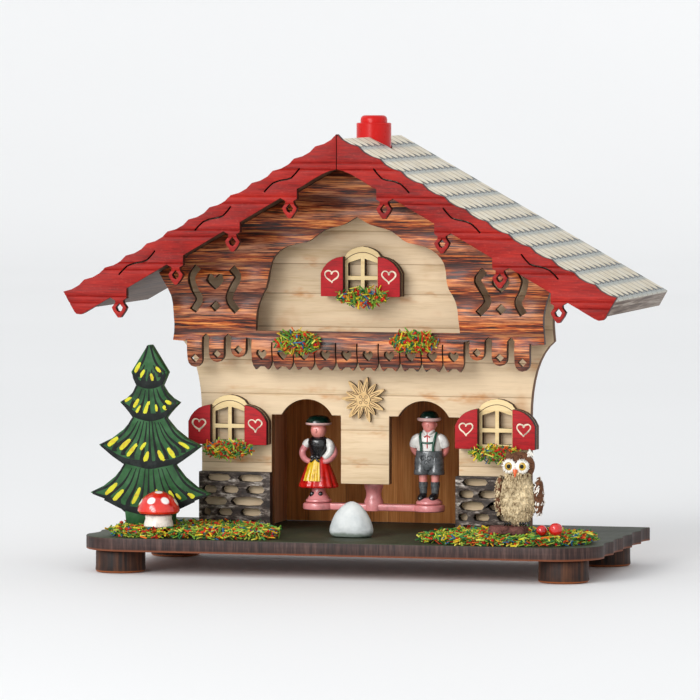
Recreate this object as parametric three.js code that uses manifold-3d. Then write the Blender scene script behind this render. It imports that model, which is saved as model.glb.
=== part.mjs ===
// A Black Forest weather house: a gut-hung beam turns the two figures out of their doorways.
// Millimetres, +Z up, the facade looks along -Y. The origin is under the middle, on the feet.

import * as THREE from 'three';
import { mergeVertices } from 'three/addons/utils/BufferGeometryUtils.js';
import Module from 'manifold-3d';

const wasm = await Module();
wasm.setup();

// Fits
const gap = 0.3;

// Roof
const roofHalfWidth = 104.4;
const roofRise = 58.5;
const roofDepth = 94;
const ridgeHeight = 162;
const slabThickness = 6.5;
const slabDrop = 1.7;
const slabInset = 0.8;

// Bargeboards
const bargeThickness = 3;
const bargeSteps = 13;
const pendantCount = 4;
const pendantFirst = 17.8;
const pendantPitch = 21.7;
const pendantDrop = 6.9;
const pendantHalfWidth = 2.8;
const bargeSlot = 0.6;
const pendantTop = 138.1;
const pendantFall = 12.36;

// Base
const baseHalfWidth = 98;
const baseDepth = 98;
const baseThickness = 5;
const baseOverhang = 8;
const baseCorner = 18;
const baseScallops = 5;
const baseScallopDepth = 1.6;
const footRadius = 9.35;
const footHeight = 8.3;
const footInset = 14;
const footFront = 13;
const footBack = 14;

// Front wall
const wallSetback = 41;
const wallThickness = 4;
const wallHalfWidth = 63.2;
const wallFlare = 72;
const flareHeight = 85.2;
const doorInner = 9.3;
const doorOuter = 36;
const doorShoulder = 56.6;
const doorArchHalf = 9.7;
const doorArchRise = 5.9;
const panelBottom = 31.2;

// Gable board and balcony
const gableSetback = 29;
const gableThickness = 3.3;
const gableHalfWidth = 71;
const gableBottom = 84.6;
const openingHalf = 39;
const openingFloor = 88.4;
const plankCount = 10;
const plankPitch = 8.16;
const plankSlot = 0.5;
const plankTop = 84.2;
const plankBottom = 74;
const tabWidth = 5.7;
const tabPitch = 8.5;
const tabFirst = 45.6;
const tabLow = 78.4;
const tabRise = 1.9;
const tabHoleTop = 81.3;
const tabHoleRise = 1.7;
const tabHoleHalf = 1.7;
const curlWidth = 2.9;
const plankHeartHeight = 79.6;
const spacerLength = 20;

// Inner box
const boxHalfWidth = 42;
const boxWall = 4;
const backSetback = 84;
const backThickness = 4;

// Trim on the front
const stoneThickness = 3.7;
const stoneHeight = 21.5;
const stoneWidth = 27.6;
const frameThickness = 3.1;
const shutterThickness = 3.3;
const windowHalfWidth = 15.2;
const windowLowX = 51.3;
const windowLowFloor = 45.5;
const windowTopFloor = 101.3;
const bedHeight = 3;
const treeThickness = 4;
const starRadius = 9;
const curveSamples = 14;

// Mechanism
const pivotSetback = 54;
const armLength = 21.4;
const beamThickness = 2.6;
const beamFloor = 20.4;
const discRadius = 5.9;
const postHeight = 7.5;
const stringRadius = 0.4;
const knobRadius = 6.5;
const capRadius = 5;
const knobTop = 165.4;
const capHeight = 2.8;
const stemRadius = 2;
const knobClearance = 0.4;
const stemClearance = 0.1;
const stemBottom = 138;
const blockFloor = 140;
const blockHalfWidth = 11;
const blockHalfDepth = 8;

// Derived places
const totalDepth = roofDepth + baseOverhang;
const baseFront = -totalDepth / 2;
const roofFront = baseFront + baseOverhang;
const roofBack = roofFront + roofDepth;
const baseTop = footHeight + baseThickness;
const slope = roofRise / roofHalfWidth;
const tilt = Math.atan(slope);
const slabTop = ridgeHeight - slabDrop;
const slabUnder = slabTop - slabThickness / Math.cos(tilt);
const wallFront = roofFront + wallSetback;
const gableFront = roofFront + gableSetback;
const boxBack = roofFront + backSetback;
const pivotY = roofFront + pivotSetback;
const floor = baseTop + gap;
const bedTop = floor + bedHeight;
const underRoof = (x) => slabUnder - gap - slope * Math.abs(x);

// Materials
const paint = (color, roughness = 0.6) => new THREE.MeshStandardMaterial({ color, roughness });
const red = paint(0xa0262d, 0.45);
const darkWood = paint(0x87412a, 0.4);
const lightWood = paint(0xe4cba3, 0.65);
const frameWood = paint(0xebcd8c, 0.6);
const shutterRed = paint(0xaf192d, 0.5);
const stoneWood = paint(0x32302c, 0.5);
const innerWood = paint(0x784b2d, 0.6);
const greenTop = paint(0x46554a, 0.6);
const footWood = paint(0x82461e, 0.5);
const tilePaper = paint(0xebe4cd, 0.5);
const treeGreen = paint(0x3c784b, 0.45);
const pinkPlastic = paint(0xe18c96, 0.35);
const knobRed = paint(0xe12314, 0.3);
const foam = paint(0x7a9a3a, 0.9);
const rockWhite = paint(0xe1e6e4, 0.7);
const starWood = paint(0xe1b978, 0.6);
const capRed = paint(0xe13223, 0.25);
const stemWhite = paint(0xf0ece4, 0.5);
const owlCream = paint(0xcdbfa5, 0.9);
const owlBrown = paint(0x6a4430, 0.8);
const gut = paint(0xd8c8a0, 0.5);

const model = new THREE.Group();

const add = (name, geometry, material, x = 0, y = 0, z = 0) => {
  const mesh = new THREE.Mesh(geometry, material);
  mesh.name = name;
  mesh.position.set(x, y, z);
  model.add(mesh);
  return mesh;
};

const point = (x, z) => new THREE.Vector2(x, z);

const shapeOf = (points) => new THREE.Shape(points);

const mirrored = (points) => points.map((p) => point(-p.x, p.y)).reverse();

const flipped = (points, side) => (side < 0 ? mirrored(points) : points);

const moved = (points, x, z) => points.map((p) => point(p.x + x, p.y + z));

const smooth = (points, count) => new THREE.SplineCurve(points).getPoints(count);

// A flat piece cut to a front-view outline: its face lies on `front`, its thickness runs back.
const plate = (shape, thickness, front) => {
  const geometry = new THREE.ExtrudeGeometry(shape, { depth: thickness, bevelEnabled: false });
  geometry.rotateX(Math.PI / 2);
  geometry.translate(0, front + thickness, 0);
  return geometry;
};

// A flat piece cut to a plan-view outline, standing on `bottom`.
const slab = (shape, height, bottom) => {
  const geometry = new THREE.ExtrudeGeometry(shape, { depth: height, bevelEnabled: false });
  geometry.translate(0, 0, bottom);
  return geometry;
};

const turned = (profile, segments = 20) => {
  const geometry = new THREE.LatheGeometry(profile.map(([r, z]) => point(r, z)), segments);
  geometry.rotateX(Math.PI / 2);
  return geometry;
};

const box = (width, depth, height, x, y, z) => {
  const geometry = new THREE.BoxGeometry(width, depth, height);
  geometry.translate(x, y, z);
  return geometry;
};

const ball = (rx, ry, rz, x, y, z, around = 12, rings = 8) => {
  const geometry = new THREE.SphereGeometry(1, around, rings);
  geometry.rotateX(Math.PI / 2);
  geometry.scale(rx, ry, rz);
  geometry.translate(x, y, z);
  return geometry;
};

const rod = (from, to, radius, sides = 8) => {
  const start = new THREE.Vector3(...from);
  const end = new THREE.Vector3(...to);
  const geometry = new THREE.CylinderGeometry(radius, radius, start.distanceTo(end), sides);
  const along = end.clone().sub(start).normalize();
  geometry.applyQuaternion(new THREE.Quaternion().setFromUnitVectors(new THREE.Vector3(0, 1, 0), along));
  geometry.translate(...start.add(end).multiplyScalar(0.5));
  return geometry;
};

const solid = (geometry) => {
  const bare = geometry.clone();
  bare.deleteAttribute('normal');
  bare.deleteAttribute('uv');
  const merged = mergeVertices(bare, 1e-5);
  return new wasm.Manifold(new wasm.Mesh({
    numProp: 3,
    vertProperties: new Float32Array(merged.attributes.position.array),
    triVerts: new Uint32Array(merged.index.array),
  }));
};

const meshOf = (manifold) => {
  const data = manifold.getMesh();
  const geometry = new THREE.BufferGeometry();
  geometry.setAttribute('position', new THREE.BufferAttribute(new Float32Array(data.vertProperties), 3));
  geometry.setIndex([...data.triVerts]);
  geometry.computeVertexNormals();
  return geometry;
};

const joined = (pieces) => meshOf(pieces.map(solid).reduce((all, piece) => all.add(piece)));

const cut = (body, tools) => meshOf(tools.map(solid).reduce((left, tool) => left.subtract(tool), solid(body)));

// A flat piece as `plate` makes it, with holes cut right through.
const pierced = (outline, holes, thickness, front) => {
  const tools = holes.map((hole) => plate(shapeOf(hole), thickness + 2, front - 1));
  return cut(plate(shapeOf(outline), thickness, front), tools);
};

const heart = (x, z, width, height) => {
  const half = width / 2;
  const lobe = new THREE.Path();
  lobe.moveTo(0, height * 0.22);
  lobe.bezierCurveTo(half * 0.25, height * 0.56, half, height * 0.6, half, height * 0.12);
  lobe.quadraticCurveTo(half, -height * 0.1, 0, -height * 0.5);
  const right = lobe.getPoints(3);
  return moved([...right, ...mirrored(right).slice(1, -1)], x, z);
};

const diamond = (x, z, half) => moved([point(0, half), point(half, 0), point(0, -half), point(-half, 0)], x, z);

// The outline of a slot of even width along a centre line.
const ribbon = (line, width) => {
  const normals = line.map((p, i) => {
    const next = line[Math.min(i + 1, line.length - 1)];
    const last = line[Math.max(i - 1, 0)];
    const along = next.clone().sub(last).normalize();
    return point(-along.y, along.x).multiplyScalar(width / 2);
  });
  const left = line.map((p, i) => p.clone().add(normals[i]));
  const right = line.map((p, i) => p.clone().sub(normals[i]));
  return [...left, ...right.reverse()];
};

const oval = (x, z, width, height, sides = 8) => {
  const points = [];
  for (let i = 0; i < sides; i += 1) {
    const turn = (2 * Math.PI * i) / sides;
    const squareness = 1 + 0.12 * Math.abs(Math.sin(2 * turn));
    points.push(point(x + (width / 2) * Math.cos(turn) * squareness, z + (height / 2) * Math.sin(turn) * squareness));
  }
  return points;
};

// Base board: round front corners, scalloped sides.
function buildBase() {
  const scallopPitch = (baseDepth - baseCorner) / baseScallops;
  const rim = new THREE.Path();
  rim.moveTo(baseHalfWidth - baseCorner, baseFront);
  rim.absarc(baseHalfWidth - baseCorner, baseFront + baseCorner, baseCorner, -Math.PI / 2, 0, false);
  for (let i = 0; i < baseScallops; i += 1) {
    const start = baseFront + baseCorner + i * scallopPitch;
    rim.quadraticCurveTo(
      baseHalfWidth - 2 * baseScallopDepth, start + scallopPitch / 2, baseHalfWidth, start + scallopPitch,
    );
  }
  const right = rim.getPoints(5);
  add('base_board', slab(shapeOf([...right, ...mirrored(right)]), baseThickness, footHeight), greenTop);

  const rows = [['front', baseFront + footFront], ['back', baseFront + baseDepth - footBack]];
  for (const [row, y] of rows) {
    for (const [name, side] of [['left', -1], ['right', 1]]) {
      const foot = turned([[0, 0], [footRadius, 0], [footRadius, footHeight - gap], [0, footHeight - gap]], 24);
      add(`foot_${row}_${name}`, foot, footWood, side * (baseHalfWidth - footInset), y, 0);
    }
  }
}

// The wavy sides that the front wall and the gable board share, from the bottom up to the roof.
const sideCurve = (halfWidth, bottom) => smooth([
  point(halfWidth, bottom), point(halfWidth - 0.5, bottom + 9), point(halfWidth + 1.2, bottom + 17.5),
  point(halfWidth + 5.4, underRoof(halfWidth + 5.4)),
], 8);

function buildFrontWall() {
  const flare = new THREE.Path();
  flare.moveTo(wallHalfWidth, floor);
  flare.lineTo(wallHalfWidth, doorShoulder);
  flare.bezierCurveTo(
    wallHalfWidth, doorShoulder + 14, wallHalfWidth + 3, flareHeight - 4.5, wallFlare, flareHeight,
  );
  const archRadius = (doorArchHalf ** 2 + doorArchRise ** 2) / (2 * doorArchRise);
  const archX = (doorInner + doorOuter) / 2 - 0.2;
  const archSweep = Math.asin(doorArchHalf / archRadius);
  const door = new THREE.Path();
  door.moveTo(0, panelBottom);
  door.lineTo(doorInner, panelBottom);
  door.lineTo(doorInner, doorShoulder);
  door.absarc(
    archX, doorShoulder + doorArchRise - archRadius, archRadius,
    Math.PI / 2 + archSweep, Math.PI / 2 - archSweep, true,
  );
  door.lineTo(doorOuter, doorShoulder);
  door.lineTo(doorOuter, floor);
  const right = [
    ...door.getPoints(8).slice(1),
    ...flare.getPoints(8),
    ...sideCurve(wallFlare, flareHeight).slice(1),
    point(0, underRoof(0)),
  ];
  const left = mirrored(right).slice(1);
  add('front_wall', plate(shapeOf([...right, ...left]), wallThickness, wallFront), lightWood);
}

// Gable board: ogee opening, pierced sides, hanging tabs and the ten balcony planks, in one piece.
function buildGableBoard() {
  const bottom = [point(0, plankBottom + 1.4)];
  const notch = plankSlot / 2;
  for (let i = 0; i < plankCount / 2; i += 1) {
    const left = i * plankPitch + notch;
    const right = (i + 1) * plankPitch - notch;
    const centre = (left + right) / 2;
    bottom.push(
      point(left, plankTop), point(left, plankBottom + 3), point(left + 0.5, plankBottom + 1.4),
      point(left + 1.5, plankBottom), point(centre - 1, plankBottom + 1.2), point(centre + 1, plankBottom + 1.2),
      point(right - 1.5, plankBottom), point(right - 0.5, plankBottom + 1.4), point(right, plankBottom + 3),
      point(right, plankTop),
    );
  }
  bottom.shift();
  const planksEnd = (plankCount / 2) * plankPitch;
  bottom.pop();
  bottom.push(point(planksEnd - notch, plankTop + 1));
  for (let i = 0; i < 3; i += 1) {
    const centre = tabFirst + i * tabPitch;
    const low = tabLow - i * tabRise;
    const half = tabWidth / 2;
    const top = gableBottom + 1.2;
    bottom.push(point(centre - half, top));
    for (let k = 0; k <= 6; k += 1) {
      const turn = Math.PI + (Math.PI * k) / 6;
      bottom.push(point(centre + half * Math.cos(turn), low + half + half * Math.sin(turn)));
    }
    if (i < 2) {
      bottom.push(point(centre + half, top), point(centre + tabPitch / 2, top + 1.4));
    }
  }
  bottom.push(point(tabFirst + 2 * tabPitch + tabWidth / 2, gableBottom + 0.4));
  bottom.push(point(gableHalfWidth - 4.5, gableBottom - 0.3));
  const right = [...bottom, ...sideCurve(gableHalfWidth, gableBottom), point(0, underRoof(0))];

  const ogee = smooth([
    point(openingHalf, openingFloor), point(38.3, 96.6), point(36.6, 101.6), point(34.6, 105.4),
    point(33.2, 113.2), point(30.6, 117.4), point(25.8, 120.2), point(19, 121.7), point(15.2, 124.2),
    point(12, 126.2), point(5.6, 127.9), point(2.4, 129.6), point(0, 131),
  ], 26);
  const holes = [[...ogee, ...mirrored(ogee).slice(1)]];

  const outerS = smooth([
    point(61.4, 112), point(63.7, 108.2), point(62.6, 103.4), point(60.9, 99.8), point(63.2, 95.6),
  ], curveSamples);
  const innerS = smooth([
    point(48.4, 111.6), point(45.8, 108.2), point(48, 104), point(49.4, 99.8), point(46, 95.6),
  ], curveSamples);
  for (const side of [-1, 1]) {
    const sideHoles = [
      ribbon(outerS, curlWidth), ribbon(innerS, curlWidth), heart(54.6, 106.6, 6.8, 6.2), diamond(54.6, 97.4, 2.1),
    ];
    for (let i = 0; i < 3; i += 1) {
      sideHoles.push(diamond(tabFirst + i * tabPitch, tabHoleTop - i * tabHoleRise, tabHoleHalf));
    }
    for (let i = 0; i < plankCount / 2; i += 1) {
      sideHoles.push(heart((i + 0.5) * plankPitch, plankHeartHeight, 4.1, 4));
    }
    holes.push(...sideHoles.map((hole) => flipped(hole, side)));
  }
  const outline = [...right, ...mirrored(right).slice(1)];
  add('gable_board', pierced(outline, holes, gableThickness, gableFront), darkWood);

  const spacerDepth = wallFront - gableFront - gableThickness - 2 * gap;
  const spacerY = gableFront + gableThickness + gap + spacerDepth / 2;
  add('balcony_floor', box(2 * openingHalf + 4, spacerDepth, 3, 0, spacerY, openingFloor - 2), lightWood);
  add('gable_spacer_top', box(spacerLength, spacerDepth, 8, 0, spacerY, ridgeHeight - 22), lightWood);
  for (const [name, side] of [['left', -1], ['right', 1]]) {
    add(`gable_spacer_${name}`, box(spacerLength, spacerDepth, 5, side * 57, spacerY, 90.6), lightWood);
  }
}

// One bargeboard: stepped top edge, stepped lower edge with a pierced pendant at each step.
function buildBargeboards() {
  const step = point(roofHalfWidth / bargeSteps, -roofRise / bargeSteps);
  const steps = new THREE.Path();
  steps.moveTo(gap / 2, ridgeHeight - slope * (gap / 2));
  for (let i = 0; i < bargeSteps; i += 1) {
    const x = i * step.x;
    const z = ridgeHeight + i * step.y;
    steps.quadraticCurveTo(x + 0.33 * step.x, z + 0.8 * step.y, x + step.x, z + step.y);
  }
  const top = steps.getPoints(3);
  const tipZ = ridgeHeight - roofRise;
  const lower = [
    point(roofHalfWidth - 4.2, tipZ - 7.4), point(roofHalfWidth - 5, tipZ - 8.2),
    point(roofHalfWidth - 6.6, tipZ - 8.4), point(roofHalfWidth - 8, tipZ - 7.8),
  ];
  const holes = [];
  for (let i = pendantCount - 1; i >= 0; i -= 1) {
    const x = pendantFirst + i * pendantPitch;
    const z = pendantTop - i * pendantFall;
    const half = pendantHalfWidth;
    lower.push(
      point(x + half + 0.6, z + 0.5), point(x + 1.5, z - 0.6), point(x + 1.6, z - 1.6), point(x + half, z - 3.2),
      point(x + half - 0.6, z - 4.6), point(x + 0.5, z - pendantDrop), point(x - 0.5, z - pendantDrop),
      point(x - half + 0.6, z - 4.6), point(x - half, z - 3.2), point(x - 1.6, z - 1.6), point(x - 1.5, z - 0.6),
      point(x - half, z + 0.2), point(x - half, z + 3.9),
    );
    holes.push([
      point(x, z - 1.5), point(x + 1.4, z - 3.2), point(x + 0.9, z - 4.4), point(x, z - 4.9),
      point(x - 0.9, z - 4.4), point(x - 1.4, z - 3.2),
    ]);
  }
  const arch = new THREE.QuadraticBezierCurve(point(13.2, 142.8), point(4, 148.9), point(gap / 2, 149.1));
  lower.push(...arch.getPoints(4));
  for (const [x0, z0, x1, z1] of [
    [13.9, 149.5, 27.4, 140.7], [40, 135.4, 53.9, 126.4], [69.1, 118.9, 83, 109.9],
  ]) {
    const line = smooth([
      point(x0, z0), point(x0 + 3.2, z0 - 3.6), point((x0 + x1) / 2, (z0 + z1) / 2),
      point(x1 - 3.2, z1 + 3.2), point(x1, z1),
    ], 8);
    holes.push(ribbon(line, bargeSlot));
  }
  for (const [name, side] of [['left', -1], ['right', 1]]) {
    const outline = flipped([...top, ...lower], side);
    const cuts = holes.map((hole) => flipped(hole, side));
    add(`bargeboard_${name}`, pierced(outline, cuts, bargeThickness, roofFront), red);
  }
}

function buildRoof() {
  const front = roofFront + bargeThickness + gap;
  const depth = roofBack - front;
  const eaveX = roofHalfWidth - slabInset;
  const eave = slabTop - slope * eaveX;
  const foot = point(eaveX - slabThickness * Math.sin(tilt), eave - slabThickness * Math.cos(tilt));
  const section = [
    point(gap / 2, slabTop - slope * (gap / 2)), point(eaveX, eave), foot,
    point(gap / 2, slabUnder - slope * (gap / 2)),
  ];
  const hole = rod([0, pivotY, slabUnder - 20], [0, pivotY, ridgeHeight + 20], knobRadius + knobClearance, 24);
  const notch = box(4, 4, 30, knobRadius + 0.2, pivotY - 2, slabUnder);
  for (const [name, side] of [['left', -1], ['right', 1]]) {
    const whole = plate(shapeOf(flipped(section, side)), depth, front);
    add(`roof_${name}`, cut(whole, side > 0 ? [hole, notch] : [hole]), tilePaper);
  }
}

function buildInnerBox() {
  const outer = boxHalfWidth + boxWall;
  const outline = [
    point(-outer, floor), point(outer, floor), point(outer, underRoof(outer)), point(0, underRoof(0)),
    point(-outer, underRoof(outer)),
  ];
  const keyhole = new THREE.Path();
  keyhole.absarc(0, 118, 4, -0.35, Math.PI + 0.35, true);
  keyhole.lineTo(-2, 126);
  keyhole.absarc(0, 126, 2, Math.PI, 0, true);
  const back = pierced(outline, [keyhole.getPoints(6)], backThickness, boxBack);
  add('back_panel', back, innerWood);

  const sideFront = wallFront + wallThickness + gap;
  for (const [name, side] of [['left', -1], ['right', 1]]) {
    const section = [
      point(boxHalfWidth, floor), point(outer, floor), point(outer, underRoof(outer)),
      point(boxHalfWidth, underRoof(boxHalfWidth)),
    ];
    add(`side_wall_${name}`, plate(shapeOf(flipped(section, side)), boxBack - gap - sideFront, sideFront), innerWood);
  }
}

// Openings in a stone panel: centre from its left edge, centre below its top, width, height.
const stones = [
  [7.4, 2.2, 9.8, 3], [20, 2.3, 10, 3],
  [4.1, 6.6, 5.8, 3.2], [12, 6.6, 6.8, 3.2], [21.8, 6.6, 7.3, 3.3],
  [6.2, 11, 9.6, 3.6], [18.6, 11, 13, 3.6],
  [2.9, 15.1, 3.6, 3], [9.9, 15.1, 6.2, 3], [20, 15, 8.2, 3.3],
  [5.2, 19.1, 5.2, 2.6], [13.7, 19.1, 5.4, 2.6], [22.6, 19.1, 6.4, 2.8],
];

function buildStonePanels() {
  const front = wallFront - gap - stoneThickness;
  for (const [name, left] of [['left', -wallHalfWidth], ['right', wallHalfWidth - stoneWidth]]) {
    const top = floor + stoneHeight;
    const panel = [
      point(left, floor), point(left + stoneWidth, floor), point(left + stoneWidth, top), point(left, top),
    ];
    const holes = stones.map(([x, down, width, height]) => oval(left + x, top - down, width, height));
    add(`stone_panel_${name}`, pierced(panel, holes, stoneThickness, front), stoneWood);
  }
}

// A window: a pierced frame over the wall, and two shutters fixed on its wings.
function buildWindow(name, x, sill) {
  const paneIn = 0.75;
  const paneOut = 5.6;
  const shutterIn = 6.6;
  const archHalf = new THREE.QuadraticBezierCurve(point(7.4, 15), point(4.2, 18.3), point(0, 18.5)).getPoints(4);
  const wing = new THREE.QuadraticBezierCurve(point(windowHalfWidth, 8.6), point(13, 14.2), point(shutterIn + 0.2, 14.9));
  const wingPoints = wing.getPoints(5);
  const right = [point(windowHalfWidth, 0), ...wingPoints, ...archHalf.slice(1)];
  const outline = moved([...right, ...mirrored(right).slice(1)], x, sill);
  const panes = [];
  for (const side of [-1, 1]) {
    const upper = [point(paneIn, 7.6), point(paneOut, 7.6), point(paneOut, 12.3), point(paneIn, 13.9)];
    const lower = [point(paneIn, 1.6), point(paneOut, 1.6), point(paneOut, 6), point(paneIn, 6)];
    panes.push(moved(flipped(upper, side), x, sill), moved(flipped(lower, side), x, sill));
  }
  const frameFront = wallFront - gap - frameThickness;
  add(`window_frame_${name}`, pierced(outline, panes, frameThickness, frameFront), frameWood);
  const shutter = [point(windowHalfWidth, 0), ...wingPoints.slice(0, -1), point(shutterIn, 14.9), point(shutterIn, 0)];
  for (const [sideName, side] of [['left', -1], ['right', 1]]) {
    const leaf = shapeOf(moved(flipped(shutter, side), x, sill));
    const leafFront = frameFront - gap - shutterThickness;
    add(`shutter_${name}_${sideName}`, plate(leaf, shutterThickness, leafFront), shutterRed);
  }
}

// Clumps of dyed foam, and the two flower beds on the base.
function buildFlowers() {
  const shutterFront = wallFront - 2 * gap - frameThickness - shutterThickness;
  for (const [name, x, y, z, rx, rz] of [
    ['top_window', 1, shutterFront, windowTopFloor, 10.8, 4.4],
    ['low_window_left', -windowLowX + 0.7, shutterFront, windowLowFloor - 1.6, 10.6, 3.9],
    ['low_window_right', windowLowX + 0.7, shutterFront, windowLowFloor - 1.4, 10.6, 3.7],
    ['balcony_left', -22.2, gableFront, 84.4, 9.4, 5],
    ['balcony_right', 21.8, gableFront, 85.2, 9.6, 4.6],
  ]) {
    const whole = solid(ball(rx, 5, rz, x, y - gap, z, 12, 8));
    const behind = solid(box(60, 20, 40, x, y - gap + 10, z));
    add(`flowers_${name}`, meshOf(whole.subtract(behind)), foam);
  }
  const bedFront = baseFront + 1;
  const bedBack = wallFront - 2 * gap - stoneThickness;
  const beds = {
    left: [
      point(-88, bedFront + 10), point(-78, bedFront + 1.5), point(-50, bedFront + 0.5), point(-26, bedFront + 4),
      point(-24, bedFront + 14), point(-37, bedBack - 5), point(-60, bedBack - 0.5), point(-84, bedBack - 8),
    ],
    right: [
      point(31, bedFront + 8), point(44, bedFront + 1), point(70, bedFront + 0.5), point(88, bedFront + 9),
      point(93, bedFront + 24), point(84, bedBack - 5), point(60, bedBack - 0.5), point(40, bedBack - 6),
    ],
  };
  for (const [name, outline] of Object.entries(beds)) {
    const rim = new THREE.SplineCurve([...outline, outline[0]]).getPoints(24).slice(1);
    add(`flower_bed_${name}`, slab(shapeOf(rim), bedHeight, floor), foam);
  }
}

// Edelweiss: long and short pointed petals by turns, with a hand-cut waver.
function buildEdelweiss() {
  const petals = 15;
  const points = [];
  for (let i = 0; i < petals; i += 1) {
    const reach = starRadius * (i % 2 ? 0.84 : 1) * (1 - 0.05 * Math.sin(3.1 * i));
    const spread = (2 * Math.PI) / petals;
    for (const [turn, share] of [[-0.5, 0.42], [-0.26, 0.66], [0, 1], [0.26, 0.66]]) {
      const angle = Math.PI / 2 + (i + turn) * spread;
      points.push(point(reach * share * Math.cos(angle), 62.8 + reach * share * Math.sin(angle)));
    }
  }
  add('edelweiss', plate(shapeOf(points), 2, wallFront - gap - 2), starWood);
}

function buildTree() {
  const treeX = -75;
  const foot = bedTop + gap;
  const half = new THREE.Path();
  half.moveTo(9, foot);
  half.lineTo(9.5, 21.4);
  half.quadraticCurveTo(10.6, 23.6, 23, 28.4);
  half.quadraticCurveTo(14.5, 31.5, 9.6, 39);
  half.quadraticCurveTo(13.5, 41.5, 19.6, 46.2);
  half.quadraticCurveTo(11, 49.5, 6.2, 56.4);
  half.quadraticCurveTo(8, 59, 11.4, 62.2);
  half.quadraticCurveTo(7, 64, 4.8, 68.4);
  half.quadraticCurveTo(6, 71, 7, 73.4);
  half.lineTo(0.6, 83.5);
  const right = half.getPoints(3);
  add('fir_tree', plate(shapeOf(moved([...right, ...mirrored(right)], treeX, 0)), treeThickness, baseFront + 20), treeGreen);
}

function buildBaseFigures() {
  const stand = bedTop + gap;
  const stem = turned([[0, 0], [5.6, 0], [5.1, 2.4], [5.1, 4.6], [0, 4.6]], 16);
  add('mushroom_stem', stem, stemWhite, -68.4, baseFront + 10, stand);
  const cap = turned([[0, 0], [5, -0.4], [7.9, 0.4], [7.4, 3.2], [5.4, 6.2], [2.6, 7.8], [0, 8.2]], 16);
  add('mushroom_cap', cap, capRed, -68.4, baseFront + 10, stand + 4.6 + gap + 0.4);

  const rock = new THREE.DodecahedronGeometry(1, 1);
  const spots = rock.attributes.position;
  for (let i = 0; i < spots.count; i += 1) {
    const up = spots.getZ(i);
    const lift = up > 0 ? 1 - 0.42 * up : 1;
    const waver = 1 + 0.05 * Math.sin(5 * spots.getX(i) + 3 * spots.getY(i));
    spots.setXYZ(i, spots.getX(i) * lift * waver, spots.getY(i) * lift * waver, Math.max(up, -0.3));
  }
  rock.scale(8.9, 6.5, 10);
  add('rock', rock, rockWhite, 1.2, baseFront + 27, floor + 3);
}

function buildOwl() {
  const x = 67.2;
  const y = baseFront + 12;
  const perch = bedTop + gap;
  add('owl_bark', box(14, 6, 3, x - 3.6, y, perch + 1.5), owlBrown);
  const foot = perch + 3 + gap;
  const body = joined([
    ball(7, 5.4, 10, x, y, foot + 10, 12, 8),
    ball(5.8, 4.8, 5.6, x + 0.2, y, foot + 21.4, 12, 8),
    ball(1.2, 1.1, 2.4, x - 3.6, y, foot + 25.8, 6, 4),
    ball(1.2, 1.1, 2.4, x + 4, y, foot + 25.8, 6, 4),
  ]);
  add('owl_body', body, owlCream);
  for (const [name, side] of [['left', -1], ['right', 1]]) {
    const wing = ball(1.5, 3.6, 7.6, x + side * 8.9, y + 0.8, foot + 10.6, 8, 6);
    add(`owl_wing_${name}`, wing, owlBrown);
  }
  const berries = [[74.4, baseFront + 8, 2], [79.6, baseFront + 8, 2.5]];
  berries.forEach(([bx, by, r], i) => {
    add(`berry_${i + 1}`, ball(r, r, r, bx + 2.6, by, bedTop + gap + r, 10, 6), capRed);
  });
}

// The chimney is the knob: the gut hangs from its stem, and turning it sets the beam.
function buildKnob() {
  const skirt = slabUnder + gap + 0.4;
  const knob = turned([
    [0, stemBottom], [stemRadius, stemBottom], [stemRadius, skirt], [knobRadius, skirt], [knobRadius, knobTop], [capRadius, knobTop],
    [capRadius, knobTop + capHeight * 0.5], [capRadius - 0.5, knobTop + capHeight * 0.85],
    [capRadius - 1.4, knobTop + capHeight], [0, knobTop + capHeight],
  ], 20);
  add('chimney_knob', knob, knobRed, 0, pivotY, 0);

  const half = blockHalfWidth;
  const block = plate(shapeOf([
    point(-half, blockFloor), point(half, blockFloor), point(half, underRoof(half)), point(0, underRoof(0)),
    point(-half, underRoof(half)),
  ]), 2 * blockHalfDepth, pivotY - blockHalfDepth);
  const bore = rod([0, pivotY, blockFloor - 5], [0, pivotY, slabUnder + 5], stemRadius + stemClearance, 20);
  add('knob_block', cut(block, [bore]), innerWood);
}

// The beam: a bar with two discs and a spool-shaped post, hung from the gut.
function buildBeam() {
  const beamTop = beamFloor + beamThickness;
  const postTop = beamTop + postHeight;
  const disc = [[0, 0], [discRadius, 0], [discRadius, beamThickness], [0, beamThickness]];
  const post = [
    [0, 0], [3.6, 0], [3.6, beamThickness + 1.2], [3, beamThickness + 3], [2.9, beamThickness + 4.6],
    [3.5, beamThickness + 6.2], [3.5, beamThickness + postHeight], [0, beamThickness + postHeight],
  ];
  const place = (geometry, x) => geometry.translate(x, pivotY, beamFloor);
  const beam = joined([
    box(2 * armLength, 5.4, beamThickness, 0, pivotY, beamFloor + beamThickness / 2),
    place(turned(disc, 24), -armLength),
    place(turned(disc, 24), armLength),
    place(turned(post, 20), 0),
  ]);
  add('figure_beam', beam, pinkPlastic);
  add('gut_string', rod([0, pivotY, postTop + gap], [0, pivotY, stemBottom - gap], stringRadius, 8), gut);
  buildWoman(-armLength, beamTop + gap);
  buildMan(armLength, beamTop + gap);
}

const oblong = (geometry, depthShare, x, z) => {
  geometry.scale(1, depthShare, 1);
  return geometry.translate(x, pivotY, z);
};

function arms(x, shoulder, reach) {
  const pieces = [];
  for (const side of [-1, 1]) {
    const elbow = [x + side * reach, pivotY - 0.4, shoulder - 4.6];
    pieces.push(rod([x + side * 3.4, pivotY, shoulder], elbow, 1.45, 6));
    pieces.push(ball(1.5, 1.5, 1.5, ...elbow, 6, 4));
    pieces.push(rod(elbow, [x + side * 3.4, pivotY - 2.2, shoulder - 8], 1.3, 6));
  }
  return pieces;
}

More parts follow.
